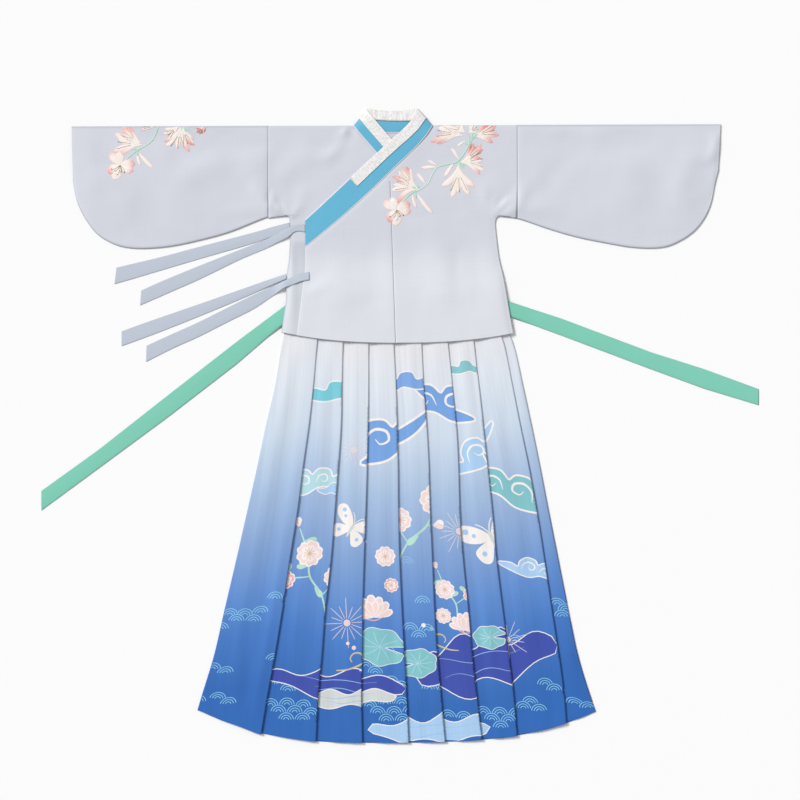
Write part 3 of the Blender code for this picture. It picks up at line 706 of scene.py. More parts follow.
# Embroidery: sprays of lily-like blossoms on the right front and at the left sleeve's shoulder fold,
# in satin stitch with rayon thread: cream petals blushing to coral tips, mint stems, olive stamens.
jacket_points, jacket_faces = [], []
for piece in (left_half, right_half, overlap, left_sleeve, right_sleeve):
    start = len(jacket_points)
    jacket_points += [vertex.co.copy() for vertex in piece.data.vertices]
    jacket_faces += [[start + i for i in face.vertices] for face in piece.data.polygons]
jacket_tree = BVHTree.FromPolygons(jacket_points, jacket_faces)


def on_jacket(x, y):
    """Height of the jacket's upper face at a place."""
    hit = jacket_tree.ray_cast(Vector((x * MM, y * MM, 0.05)), Vector((0, 0, -1)))[0]
    return (hit.z / MM if hit else FRONT) + CLOTH / 2


def stitched_material(name, inner, tip, streak):
    """Satin stitch: fine threads side by side along each petal, its colour running from base to tip."""
    material = bpy.data.materials.new(name)
    material.use_nodes = True
    tree = material.node_tree
    place = add_node(tree, "UVMap", uv_map="unfolded")
    split = add_node(tree, "SeparateXYZ", {0: place})
    stretch = add_node(tree, "Mapping", {"Vector": place, "Scale": (1.0, 9.0, 1.0)})
    uneven = add_node(tree, "TexNoise", {"Vector": stretch, "Scale": 5.0})
    shift = maths(tree, "MULTIPLY_ADD", uneven, 0.5, -0.25)
    blush = add_node(tree, "Attribute", attribute_name="blush")
    reach = maths(tree, "ADD", maths(tree, "ADD", split.outputs["X"], shift), blush.outputs["Fac"])
    along_petal = maths(tree, "MULTIPLY", reach, 1 / 1.6)
    colours = ramp_node(tree, along_petal, ((0.5, inner), (0.68, streak), (0.9, tip)))
    edge = add_node(tree, "Attribute", attribute_name="edge")
    outline = add_node(tree, "MapRange", {
        "Value": edge.outputs["Fac"], "From Min": 0.5, "From Max": 1.3,
    }, interpolation_type="SMOOTHSTEP")
    rim = add_node(tree, "Mix", {"Factor": outline, "A": colours, "B": streak}, data_type="RGBA")
    threads = add_node(tree, "TexWave", {
        "Vector": place, "Scale": 9.0, "Distortion": 1.2,
    }, bands_direction="Y")
    bump = add_node(tree, "Bump", {"Height": threads.outputs["Fac"], "Distance": 0.0002, "Strength": 0.5})
    put_in(tree.nodes["Principled BSDF"], {
        "Base Color": rim, "Normal": bump, "Roughness": 0.45, "Sheen Weight": 0.2,
    })
    return material


petal_thread = stitched_material(
    "coral petal thread", srgb(243, 233, 227), srgb(211, 108, 108), srgb(234, 184, 178))
stem_thread = stitched_material(
    "mint stem thread", srgb(176, 214, 196), srgb(140, 190, 168), srgb(196, 224, 208))
stamen_thread = stitched_material(
    "olive stamen thread", srgb(172, 158, 112), srgb(120, 100, 70), srgb(160, 140, 90))


class Stitches:
    """Gathers the stitched shapes of one thread into one mesh."""

    def __init__(self):
        self.points, self.faces, self.places, self.blush, self.edge = [], [], [], [], []

    def patch(self, rows, places, blush):
        start, across = len(self.points), len(rows[0])
        for row in rows:
            self.points += row
        for r in range(len(rows) - 1):
            for c in range(across - 1):
                a = start + r * across + c
                self.faces.append((a, a + 1, a + across + 1, a + across))
                self.places += [places[r][c], places[r][c + 1], places[r + 1][c + 1], places[r + 1][c]]
        self.blush += [blush] * (len(rows) * across)
        self.edge += [abs(2 * c / (across - 1) - 1) for c in range(across)] * len(rows)

    def petal(self, x, y, angle, reach, wide, blush=0.2, bend=0.0, dome=0.7, waist=0.75):
        """A petal from its base, bent a little sideways, raised along its middle."""
        rows, places = [], []
        for k in range(11):
            t = k / 10
            turn = radians(angle + bend * t)
            mid_x, mid_y = x + reach * t * cos(turn), y + reach * t * sin(turn)
            half_wide = wide / 2 * max(0.0, sin(pi * t**waist)) ** 0.6 + 0.15
            row, place = [], []
            for j in range(7):
                across = j / 3 - 1
                at_x = mid_x - sin(turn) * half_wide * across
                at_y = mid_y + cos(turn) * half_wide * across
                at_y = min(at_y, shoulder_at(at_x) - 1.2)
                rise = dome * (1 - across**2) * (0.35 + 0.65 * sin(pi * t))
                crease = -0.25 * exp(-((across * 4) ** 2)) * sin(pi * t)
                row.append((at_x, at_y, on_jacket(at_x, at_y) + 0.12 + rise + crease))
                place.append((t, across * half_wide / 8))
            rows.append(row)
            places.append(place)
        self.patch(rows, places, blush)

    def line(self, points, width, high=0.7):
        """A stem or thread through points."""
        spots = [smooth_point(points, k / 5) for k in range(5 * (len(points) - 1) + 1)]
        rows, places = [], []
        for k, (x, y) in enumerate(spots):
            run = Vector(spots[min(k + 1, len(spots) - 1)]) - Vector(spots[max(k - 1, 0)])
            run.normalize()
            taper = 1 - 0.4 * k / len(spots)
            row = []
            for j in range(5):
                across = (j / 2 - 1) * width / 2 * taper
                at_x, at_y = x - run.y * across, min(y + run.x * across, shoulder_at(x) - 1.2)
                row.append((at_x, at_y, on_jacket(at_x, at_y) + 0.1 + high * (1 - (j / 2 - 1) ** 2)))
            rows.append(row)
            places.append([(k / len(spots), j * 0.1) for j in range(5)])
        self.patch(rows, places, 0.3)

    def piece(self, name, material):
        mesh = bpy.data.meshes.new(name)
        mesh.from_pydata([Vector(point) * MM for point in self.points], [], self.faces)
        unfolded = mesh.uv_layers.new(name="unfolded")
        for corner, place in zip(unfolded.data, self.places):
            corner.uv = place
        blush = mesh.attributes.new("blush", "FLOAT", "POINT")
        blush.data.foreach_set("value", self.blush)
        mesh.attributes.new("edge", "FLOAT", "POINT").data.foreach_set("value", self.edge)
        mesh.materials.append(material)
        mesh.shade_smooth()
        return placed(name, mesh)


def open_blossom(petals, stamens, x, y, radius, turn):
    """A six-petalled blossom seen from the front."""
    for k, (far, wide, blush) in enumerate((
        (1.0, 0.66, 0.25), (0.9, 0.6, -0.05), (1.08, 0.56, 0.1), (0.95, 0.66, 0.3), (1.04, 0.66, -0.1),
        (0.96, 0.6, 0.2),
    )):
        petals.petal(x, y, turn + 60 * k + (7 if k % 2 else -5), radius * far, radius * wide, blush,
                     bend=8 if k % 2 else -8, waist=1.35)
    for k, far in enumerate((0.62, 0.5, 0.66, 0.46, 0.56)):
        a = radians(turn + 190 + 24 * k)
        half_way = (x + radius * far * 0.5 * cos(a + 0.15), y + radius * far * 0.5 * sin(a + 0.15))
        end = (x + radius * far * cos(a), y + radius * far * sin(a))
        stamens.line([(x, y), half_way, end], STAMEN, STAMEN)
        stamens.petal(*end, turn + 100 + 24 * k, 3.6, 2.2, 0.8, dome=1.6)


def side_blossom(petals, stamens, x, y, angle, reach, spread=34.0, blush=0.35):
    """A trumpet-shaped blossom seen from the side: a slim tube, and petals opening out at its mouth."""
    for k, (across, far, wide, red) in enumerate((
        (-1.0, 0.84, 0.2, 0.05), (1.0, 0.88, 0.2, 0.22), (-0.5, 0.98, 0.21, -0.1), (0.52, 1.0, 0.2, 0.0),
        (0.0, 0.86, 0.22, -0.2),
    )):
        wobble = sin(x * 1.7 + y * 0.9 + k * 2.3)
        petals.petal(x, y, angle + spread * across * 0.25 + 2 * wobble, reach * (far + 0.05 * wobble),
                     reach * wide, blush + red - 0.36 + 0.1 * wobble,
                     bend=spread * across * 0.8 + 5 * wobble, waist=1.9)
    for across in (-0.6, 0.0, 0.55):
        a, b = radians(angle + spread * across * 0.4), radians(angle + spread * across * 0.8)
        stamens.line([(x + 0.4 * reach * cos(a), y + 0.4 * reach * sin(a)),
                      (x + 0.84 * reach * cos(b), y + 0.84 * reach * sin(b))], STAMEN, STAMEN)


def bud(petals, x, y, angle, reach, blush=0.0):
    """Two slim petals, closed over each other."""
    wide = min(reach * 0.22, 8.5)
    petals.petal(x, y, angle - 4, reach, wide, blush, bend=6, waist=1.6)
    petals.petal(x, y, angle + 5, reach * 0.86, wide * 0.8, blush + 0.1, bend=-6, waist=1.6)


def sepals(stems, spots):
    """Small green leaves where blossoms leave the stem. spots: x, y, angle, reach."""
    for x, y, angle, reach in spots:
        stems.petal(x, y, angle, reach, reach * 0.32, 0.1, bend=10)


STAMEN = 1.3                # a stamen's width, and its height too
front_petals, front_stems, front_stamens = Stitches(), Stitches(), Stitches()
front_stems.line([(181, 682), (168, 664), (157, 642), (134, 610), (110, 602), (88, 596), (74, 578),
                  (66, 560), (48, 545), (28, 537)], 4.0)
front_stems.line([(157, 642), (160, 664), (150, 676)], 3.0)
front_stems.line([(36, 541), (20, 530), (4, 512)], 3.0)
sepals(front_stems, ((40, 545, 150, 20), (44, 546, 115, 14), (36, 540, 265, 18), (134, 610, 300, 22),
                     (138, 606, 330, 16), (166, 662, 30, 22), (164, 660, 70, 18), (158, 646, 140, 14)))
for blossom_spot in (
    # x, y, angle, reach, spread, blush
    (146, 668, 168, 74, 30, 0.45), (152, 674, 150, 48, 34, 0.5), (164, 666, 16, 66, 24, 0.7),
    (158, 672, 44, 30, 40, 0.3), (138, 606, 10, 62, 44, 0.45), (146, 608, 40, 52, 26, 0.75),
    (134, 602, 272, 76, 38, 0.25), (44, 544, 162, 66, 42, 0.3), (40, 548, 138, 62, 26, 0.55),
):
    side_blossom(front_petals, front_stamens, *blossom_spot)
open_blossom(front_petals, front_stamens, -8, 497, 35, 40)
for bud_spot in (
    # x, y, angle, reach
    (84, 596, 182, 36), (86, 599, 150, 26), (136, 613, 122, 34), (37, 536, 307, 62),
    (28, 534, 284, 34), (60, 556, 128, 34), (150, 656, 214, 22), (124, 606, 236, 40),
):
    bud(front_petals, *bud_spot)

sleeve_petals, sleeve_stems, sleeve_stamens = Stitches(), Stitches(), Stitches()
sleeve_stems.line([(-556, 689), (-562, 672), (-571, 656), (-590, 642), (-608, 632)], 4.0)
sleeve_stems.line([(-606, 633), (-622, 620), (-632, 610)], 3.0)
sepals(sleeve_stems, ((-592, 642, 200, 18), (-604, 634, 150, 16), (-602, 634, 250, 16),
                      (-498, 688, 290, 18), (-494, 688, 320, 14)))
open_blossom(sleeve_petals, sleeve_stamens, -644, 600, 35, 20)
for blossom_spot in (
    (-592, 646, 172, 70, 36, 0.4), (-594, 650, 148, 60, 26, 0.6), (-505, 689, 262, 60, 40, 0.5),
    (-500, 689, 286, 48, 30, 0.35), (-508, 690, 218, 40, 30, 0.2), (-560, 690, 184, 36, 16, 0.4),
    (-452, 690, 232, 22, 30, 0.9),
):
    side_blossom(sleeve_petals, sleeve_stamens, *blossom_spot)
for bud_spot in ((-603, 630, 312, 52), (-606, 628, 286, 30), (-446, 690, 250, 16, 0.8)):
    bud(sleeve_petals, *bud_spot)

embroidery = {right_half.name: [], left_sleeve.name: []}
for name, on, parts in (
    ("front_spray", right_half, (front_petals, front_stems, front_stamens)),
    ("sleeve_spray", left_sleeve, (sleeve_petals, sleeve_stems, sleeve_stamens)),
):
    for part, stitches, thread in zip(
        ("petals", "stems", "stamens"), parts, (petal_thread, stem_thread, stamen_thread)
    ):
        made = stitches.piece(f"{name}_{part}", thread)
        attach(made, "root")
        embroidery[on.name].append(made)


# Collar: one straight band of sky-blue satin-faced cloth, sewn round the neck and down the overlap's
# slanted edge. A narrow off-white jacquard guard strip is folded over its free edge.
# in: the band's free edge. out: the edge sewn to the neck. guard: the share the guard covers.
COLLAR_OUTER = [
    # in_x, in_y, in_z, out_x, out_y, out_z, guard
    (-218.0, 475.0, 3.8, -218.0, 411.3, 3.8, 0.46),
    (-180.0, 510.0, 3.8, -142.0, 473.5, 3.8, 0.46),
    (-116.0, 570.0, 3.9, -79.0, 529.5, 3.8, 0.46),
    (-78.0, 605.5, 4.8, -40.0, 567.0, 4.0, 0.46),
    (-39.0, 641.0, 5.7, -2.0, 604.5, 4.2, 0.46),
    (-19.0, 660.0, 5.7, 19.0, 623.5, 4.2, 0.47),
    (2.0, 678.0, 5.3, 45.0, 650.0, 4.3, 0.49),
    (22.0, 698.0, 4.8, 62.0, 670.0, 4.4, 0.52),
]
COLLAR_BACK = [
    (14.0, 725.0, 1.8, 31.0, 676.5, 0.5, 0.52),
    (-18.0, 723.0, 1.8, -18.0, 674.3, 0.5, 0.52),
    (-50.0, 724.5, 1.8, -66.0, 677.0, 0.5, 0.52),
]
COLLAR_INNER = [
    (-60.0, 707.0, 4.2, -96.3, 676.3, 3.6, 0.55),
    (-40.0, 684.0, 3.6, -75.5, 652.5, 3.0, 0.55),
    (-19.0, 660.0, 2.8, -55.0, 629.0, 2.6, 0.55),
    (-6.0, 645.0, 2.8, -39.5, 611.5, 2.6, 0.55),
]
FOLD_RIGHT = ((42.0, 730.0), (77.0, 692.0))
FOLD_LEFT = ((-78.0, 728.0), (-108.5, 691.0))
FOLD_FRONT, FOLD_BACK = 4.4, 1.8


def collar_fold(line, angles):
    """The band's stations round a fold at the side of the neck."""
    free, sewn = Vector(line[0]), Vector(line[1])
    run = (sewn - free).normalized()
    outward = Vector((-run.y, run.x))
    if (free.x - CENTRE) * outward.x < 0:
        outward = -outward
    radius, middle = (FOLD_FRONT - FOLD_BACK) / 2, (FOLD_FRONT + FOLD_BACK) / 2
    stations = []
    for angle in angles:
        shift = outward * (radius * cos(angle) - radius - 1.8)
        z = middle + radius * sin(angle)
        out = Vector((outward.x * cos(angle), outward.y * cos(angle), sin(angle)))
        a, b = free + shift, sewn + shift
        stations.append((Vector((a.x, a.y, z)), Vector((b.x, b.y, z)), out, 0.55))
    return stations


def laid(table, up):
    """The band's stations where it lies flat, its outer face up or down."""
    return [(Vector(r[0:3]), Vector(r[3:6]), Vector((0, 0, up)), r[6]) for r in table]


def closer(stations, step):
    """More stations between the given ones, on smooth curves through them."""
    flat_points = [tuple(a) + tuple(b) + tuple(out) + (share,) for a, b, out, share in stations]
    result = []
    for k in range(len(stations) - 1):
        gap = max((stations[k + 1][0] - stations[k][0]).length, (stations[k + 1][1] - stations[k][1]).length)
        for f in spaced(0, 1, step / max(gap, step))[(1 if k else 0):]:
            p = smooth_point(flat_points, k + f)
            out = Vector(p[6:9])
            result.append((Vector(p[0:3]), Vector(p[3:6]), out.normalized(), p[9]))
    return result


down_the_side = [radians(a) for a in (90, 54, 18, -18, -54, -90)]
collar_parts = [
    closer(laid(COLLAR_OUTER, 1), 8.0),
    collar_fold(FOLD_RIGHT, down_the_side),
    closer(laid(COLLAR_BACK, -1), 12.0),
    collar_fold(FOLD_LEFT, down_the_side[::-1]),
    closer(laid(COLLAR_INNER, 1), 8.0),
]
collar_stations = [station for part in collar_parts for station in part]
collar_run = [0.0]
for (a0, b0, _, _), (a1, b1, _, _) in zip(collar_stations, collar_stations[1:]):
    collar_run.append(collar_run[-1] + ((a0 + b0) / 2 - (a1 + b1) / 2).length)


def collar_point(a, b, out, share):
    """A point across the band, which is a little thicker in the middle than at its edges."""
    at = a.lerp(b, share)
    if out.z < -0.9:
        at.z = mix(a.z, b.z, max(0.0, share - 0.6) / 0.4)
        return at
    round_off = min(1.0, min(share, 1 - share) * 14) ** 0.5
    at.z += 0.35 * round_off - 0.15
    if abs(out.z) > 0.9:
        at.z += crease_height(at.x, at.y)
    return at


def collar_piece(name, stations, runs, last, columns, off, material):
    """A strip from the band's free edge to last, a share of its width, lying off outside it."""
    rows, flat = [], []
    for (a, b, out, share), run in zip(stations, runs):
        width = (b - a).length
        row, places = [], []
        for f in columns:
            s = f * last(share)
            at = collar_point(a, b, out, s) + out * off
            if off and out.z < -0.9:
                at.z = FLOOR - 0.1
            row.append(tuple(at))
            places.append((run, s * width))
        rows.append(row)
        flat.append(places)
    return cloth_piece(name, rows, flat, material)


# edge: the colour of the painted shade at each cloth's turned and marked edges
band_cloth = cloth_material("collar band satin", srgb(100, 180, 211), roughness=0.55, sheen=0.15,
                            threads=1800.0, slub=30.0, thread_height=0.00003, streaks=0.09)
piping_cloth = cloth_material("collar piping", srgb(228, 220, 226), edge=(0.9, 0.88, 0.9, 1.0))
guard_cloth = cloth_material("collar guard jacquard", srgb(240, 238, 237), roughness=0.6, sheen=0.2,
                             threads=1600.0, slub=30.0, streaks=0.04, edge=(0.7, 0.68, 0.67, 1.0))


def jacquard(material, scale, ground, figure):
    """Small woven figures, a little greyer than the ground and standing up from it, in crosswise rows."""
    tree = material.node_tree
    shader = tree.nodes["Principled BSDF"]
    place = add_node(tree, "UVMap", uv_map="unfolded")
    stretch = add_node(tree, "Mapping", {
        "Vector": place, "Scale": (scale[0], scale[1], 1.0), "Rotation": (0.0, 0.0, radians(28)),
    })
    patches = add_node(tree, "TexNoise", {"Vector": stretch, "Scale": 1.0, "Detail": 2.0})
    figures = add_node(tree, "MapRange", {"Value": patches, "From Min": 0.46, "From Max": 0.58})
    colour = add_node(tree, "Mix", {"Factor": figures, "A": ground, "B": figure}, data_type="RGBA")
    put_in(tree.nodes["painted edge shade"], {"Colour": colour})
    raised = add_node(tree, "Bump", {
        "Height": figures, "Distance": 0.0003, "Strength": 0.6,
        "Normal": shader.inputs["Normal"].links[0].from_socket,
    })
    put_in(shader, {"Normal": raised})


jacquard(guard_cloth, (300.0, 130.0), srgb(238, 236, 234), srgb(222, 220, 218))
edges_close = [0, 0.012, 0.04, 0.07] + [0.07 + 0.86 * k / 10 for k in range(1, 10)] + [0.93, 0.96, 0.988, 1]
band = collar_piece("blue_collar_band", collar_stations, collar_run, lambda share: 1.0, edges_close,
                    0.0, band_cloth)
band.data.materials.append(piping_cloth)
strips = len(edges_close) - 1
for face in band.data.polygons:
    if min(face.index % strips, strips - 1 - face.index % strips) < 2:
        face.material_index = 1
guard_from = 0
while collar_stations[guard_from][0].x < -117.0:
    guard_from += 1
guard = collar_piece("white_collar_guard", collar_stations[guard_from:], collar_run[guard_from:],
                     lambda share: share, edges_close, 1.15, guard_cloth)
LEAF = [
    # top_x, top_y, low_x, low_y
    (41.0, 730.0, 34.0, 702.0), (12.0, 726.0, 12.0, 701.0), (-18.0, 724.6, -18.0, 701.5),
    (-48.0, 726.0, -46.0, 703.0), (-76.0, 730.0, -70.0, 704.0),
]
leaf_rows, leaf_flat = [], []
for k in range(49):
    top_x, top_y, low_x, low_y = smooth_point(LEAF, k / 12)
    ripple = 0.4 * sin(k * 0.62) + 0.3 * sin(k * 1.3)
    leaf_rows.append([
        (mix(top_x, low_x, f / 6), mix(top_y, low_y, f / 6), 3.1 + ripple * sin(pi * f / 6)) for f in range(7)
    ])
    leaf_flat.append([(k * 2.25, f * 3.6) for f in range(7)])
leaf = cloth_piece("turned_in_guard_leaf", leaf_rows, leaf_flat, guard_cloth)
# Painted shade along the leaf's and the guard's long edges
mark_edge_shade(leaf, [1.0 if f in (0, 6) else 0.0 for _ in leaf_rows for f in range(7)])
guard_row = [1.0 if f in (0.0, 1.0) else 0.0 for f in edges_close]
mark_edge_shade(guard, guard_row * len(collar_stations[guard_from:]))
for piece, node, slot, flat, under in (
    (band, "collar_band", "collar_band_cloth", (0.055, 0.66), overlap),
    (guard, "collar_guard", "collar_guard_cloth", (0.028, 0.5), band),
    (leaf, "collar_guard_leaf", "collar_guard_cloth", (0.022, 0.108), band),
):
    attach(piece, "root")
    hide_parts(node)


# Side ties: four flat tapes of grey-blue plain cloth. Two are sewn into the left side seam, and two
# to the edge of the overlap panel.
# x: along. upper, lower: the two edges there. z: its middle. raised: the share of the jacket's lift.
SIDE_TIES = {
    "side_tie_1": [
        # x, upper, lower, z, raised
        (-655.0, 364.5, 327.0, 0.5, 0.0), (-560.0, 386.5, 355.5, 0.5, 0.0),
        (-464.0, 412.0, 384.0, 0.5, 0.0), (-335.0, 446.0, 421.5, 0.5, 0.0),
        (-285.0, 460.5, 439.0, 0.7, 0.0), (-254.2, 468.0, 448.0, 1.5, 0.0),
    ],
    "side_tie_2": [
        (-597.0, 312.0, 278.0, 0.5, 0.0), (-530.0, 341.0, 308.0, 0.5, 0.0),
        (-464.0, 368.0, 337.0, 0.5, 0.0), (-367.0, 406.5, 384.0, 0.5, 0.0),
        (-310.0, 429.0, 408.0, 0.6, 0.0), (-282.0, 443.0, 422.5, 2.0, 0.3),
        (-256.0, 458.0, 435.5, 3.8, 1.0), (-245.0, 461.0, 445.5, 3.9, 1.0),
        (-233.0, 463.0, 448.5, 3.9, 1.0), (-218.6, 463.0, 446.0, 3.8, 1.0),
    ],
    "side_tie_3": [
        (-641.0, 218.0, 184.0, 0.5, 0.0), (-560.0, 247.0, 214.0, 0.5, 0.0),
        (-464.0, 280.0, 252.0, 0.5, 0.0), (-370.0, 313.0, 291.0, 0.5, 0.0),
        (-310.0, 334.0, 318.0, 0.6, 0.2), (-261.3, 350.0, 338.5, 1.5, 1.0),
    ],
    "side_tie_4": [
        (-584.0, 185.0, 148.0, 0.5, 0.0), (-524.0, 212.0, 178.5, 0.5, 0.0),
        (-464.0, 239.0, 205.5, 0.5, 0.0), (-400.0, 271.0, 238.0, 0.5, 0.0),
        (-335.0, 303.0, 271.0, 0.5, 0.0), (-288.0, 324.0, 303.0, 0.7, 0.1),
        (-267.0, 333.5, 317.5, 3.6, 1.0),
        (-245.0, 343.5, 325.5, 4.2, 1.0), (-230.0, 350.0, 331.5, 5.1, 1.0),
        (-209.0, 354.0, 335.5, 5.1, 1.0),
    ],
}


TIE_SLANTS = {"side_tie_1": 4.6, "side_tie_2": 2.8, "side_tie_4": 1.2}     # free ends are cut askew
GATHERED = 46.0             # how far the small pleats at a tie's sewn end reach
TIE_ACROSS = [0.0, 0.025, 0.09, 0.18, 0.29, 0.4, 0.5, 0.6, 0.71, 0.82, 0.91, 0.975, 1.0]


def in_line(table, column, at):
    """Reads a column of a table between its rows, in a straight line from row to row."""
    rows = sorted(table)
    for a, b in zip(rows, rows[1:]):
        if at <= b[0]:
            return mix(a[column], b[column], max(0.0, (at - a[0]) / (b[0] - a[0])))
    return rows[-1][column]


def tie(name, table, step, material, thickness=CLOTH, roll=0.5, slant=0.0, straight=False):
    """A tape from its free end to its sewn end, with a low rounded back and uneven sag."""
    first, last = table[0][0], table[-1][0]
    rows, flat, lines = [], [], []
    end = 0.8 / abs(last - first)
    places_along = spaced(first, last, step)[1:-1]
    for x in [first, mix(first, last, 2 * end)] + places_along + [mix(last, first, end), last]:
        upper, lower, z, raised = (
            in_line(table, column, x) if straight else along(table, 0, column, x)
            for column in (1, 2, 3, 4)
        )
        askew = slant * max(0.0, 1 - abs(x - first) / 40.0)
        gather = 0.0 if straight else max(0.0, 1 - abs(last - x) / GATHERED) ** 1.5
        width = upper - lower
        row, places = [], []
        for f in TIE_ACROSS:
            y = mix(lower, upper, f)
            sway = 0.5 + 0.5 * noise.noise(Vector((x / 60.0, f * 1.5, len(name) + first / 100)))
            swell = roll * sin(pi * f) * sway
            swell += 0.4 * gather * (0.5 - 0.5 * cos(2 * pi * f * 2.5))
            row.append((x + askew * (f - 0.5), y, max(z, 0.5) + swell + max(raised, 0.0) * lift(y)))
            # Painted shade along the free end and the upper edge, and a painted shadow under the lower edge,
            # darkest near the sewn end
            below = (0.35 + 2.2 * max(0.0, 1 - abs(last - x) / 70.0)) * max(0.0, 1 - f / 0.12)
            lines.append(1.0 if x == first else max(below, 0.3 * (1 - gather) if f == 1 else 0.0))
            places.append((x, f * width))
        rows.append(row)
        flat.append(places)
    made = cloth_piece(name, rows, flat, material, thickness=thickness)
    mark_edge_shade(made, lines)
    return made


# The tapes' painted edge shade is a pale grey-blue
tie_cloth = cloth_material("side tie cloth", srgb(186, 195, 207), slub=20.0, edge=(0.62, 0.65, 0.72, 1.0))
TIE_CUTS = ((0.027, 0.41), (0.025, 0.4), (0.026, 0.4), (0.031, 0.4))
for (name, table), flat in zip(SIDE_TIES.items(), TIE_CUTS):
    piece = tie(name + "_tape", table, 7.0, tie_cloth, slant=TIE_SLANTS.get(name, 0.0))
    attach(piece, "root")
    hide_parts(name)


# Skirt: a light chiffon-like weave, dyed from near white at the waist to strong blue at the hem and
# printed. It is one cloth in knife pleats, all folded to the right, with a plain back.
# height: where the row is. left, right: the skirt's sides. fold_1 to fold_8: the pleats' edges.
SKIRT_ROWS = [
    # height, left, fold_1 to fold_8, right
    (235, -262, -186, -129, -72, -16, 47, 105, 164, 222, 242),
    (186, -273, -191, -131, -72, -14, 50, 111, 171, 240, 262),
    (94, -288, -199, -133, -72, -9, 55, 121, 182, 259, 283),
    (2, -309, -209, -135, -73, -6, 62, 130, 192, 277, 303),
    (-90, -328, -222, -141, -75, -4, 67, 135, 202, 296, 322),
    (-193, -351, -235, -149, -78, -3, 70, 138, 213, 315, 342),
    (-308, -377, -253, -158, -82, 0, 75, 146, 223, 333, 365),
    (-423, -404, -270, -171, -85, 5, 80, 158, 237, 350, 388),
    (-527, -428, -287, -179, -86, 11, 87, 167, 251, 366, 410),
    (-619, -456, -304, -187, -88, 16, 95, 177, 262, 378, 438),
    (-728, -488, -322, -193, -86, 21, 105, 190, 271, 386, 478),
]
SKIRT_HEM = [
    # x, height
    (-482, -650), (-466, -654), (-414, -676), (-368, -692), (-321, -709), (-267, -717),
    (-193, -726), (-87, -729), (21, -729), (105, -727), (190, -722), (270, -713),
    (334, -699), (386, -683), (430, -666), (455, -655),
]
SKIRT_TOP, SKIRT_LENGTH = 235.0, 960.0
SKIRT_BACK, SKIRT_LOW, SKIRT_HIGH = 0.5, 2.0, 5.0   # middle of the back, of the underlaps, of the folds
PLEATS, PLEAT_RADIUS = 8, 0.75
UNDERLAP = (18.0, 30.0)     # depth of the cloth folded under each pleat, at the waist and at the hem
SKIRT_CLOTH = 0.6           # thickness of the skirt's cloth
FOLD_INSET = PLEAT_RADIUS + SKIRT_CLOTH / 2         # from a fold's edge to where its bend starts
FOLD_BULGE, BULGE_WIDTH = 1.7, 19.0       # the cloth stands up in a soft roll beside each fold
FOLD_SHADE_REACH = 2.6             # how far the painted shade along a fold reaches back from it
HIDDEN = 4.0                # how far a face is drawn on under the fold beside it
SKIRT_STEPS = 96            # rows of cloth from the waist to the hem


def skirt_edge(share, column):
    """A fold or side of the skirt, share of the way down."""
    x = along(SKIRT_ROWS, 0, column, mix(SKIRT_TOP, SKIRT_ROWS[-1][0], share))
    for _ in range(3):
        y = mix(SKIRT_TOP, along(SKIRT_HEM, 0, 1, x), share)
        x = along(SKIRT_ROWS, 0, column, y)
    return x


FINE = 240                  # steps of the tables that the folds are read from
edge_tables = [[skirt_edge(k / FINE, column) for k in range(FINE + 1)] for column in range(1, PLEATS + 3)]
hem_table = [along(SKIRT_HEM, 0, 1, -500.0 + k * 4) for k in range(251)]


def edge_at(column, share):
    """Fold or side number column, from 0 at the left side, share of the way down."""
    at = min(max(share, 0.0), 1.0) * FINE
    k = min(int(at), FINE - 1)
    return mix(edge_tables[column][k], edge_tables[column][k + 1], at - k)


def hem_at(x):
    """Height of the skirt's hem at a place across."""
    at = min(max((x + 500.0) / 4, 0.0), 249.999)
    k = int(at)
    return mix(hem_table[k], hem_table[k + 1], at - k)


# Where each face's fold lies on the unfolded cloth, and each face's width at the hem.
FACE_WIDTHS = [edge_at(k, 1.0) - edge_at(k - 1, 1.0) for k in range(1, PLEATS + 2)]
FOLD_PLACES = []
for width in FACE_WIDTHS:
    FOLD_PLACES.append((FOLD_PLACES[-1] + 2 * UNDERLAP[1] if FOLD_PLACES else 0.0) + width)

# Long soft ripples in the skirt's faces. face, share of its width, from and to share down, width, height.
SKIRT_RIPPLES = [
    # face, place, from, to, width, height
    (1, 0.30, 0.02, 0.75, 16, 1.0), (1, 0.62, 0.15, 1.0, 18, -0.8), (1, 0.82, 0.3, 1.0, 12, 0.9),
    (2, 0.35, 0.05, 0.8, 13, 0.8), (2, 0.70, 0.2, 1.0, 14, -0.6),
    (3, 0.50, 0.0, 0.6, 12, 0.7), (3, 0.30, 0.4, 1.0, 14, -0.6),
    (4, 0.40, 0.1, 0.9, 13, 0.7), (4, 0.75, 0.4, 1.0, 12, -0.5),
    (5, 0.55, 0.0, 0.7, 12, 0.7), (5, 0.30, 0.5, 1.0, 12, 0.6),
    (6, 0.45, 0.1, 0.8, 12, -0.6), (6, 0.70, 0.5, 1.0, 12, 0.7),
    (7, 0.50, 0.0, 0.9, 13, 0.8), (7, 0.25, 0.4, 1.0, 12, -0.5),
    (8, 0.35, 0.05, 0.9, 15, 1.0), (8, 0.70, 0.2, 1.0, 14, -0.7),
    (9, 0.50, 0.1, 1.0, 14, 0.8),
]


def fold_bulge(face, share):
    """Height of the soft roll beside a face's fold."""
    if face > PLEATS:
        return 0.0
    uneven = 0.8 + 0.35 * noise.noise(Vector((face * 3.1, share * 6.0, 2.0)))
    return FOLD_BULGE * uneven * smooth((share - 0.04) / 0.2)


def pleat_rise(share):
    """Half the height between two layers of a pleat. They lie pressed closer below the waist."""
    return PLEAT_RADIUS * (1 - 0.38 * smooth((share - 0.04) / 0.06) * (1 - smooth((share - 0.15) / 0.35)))


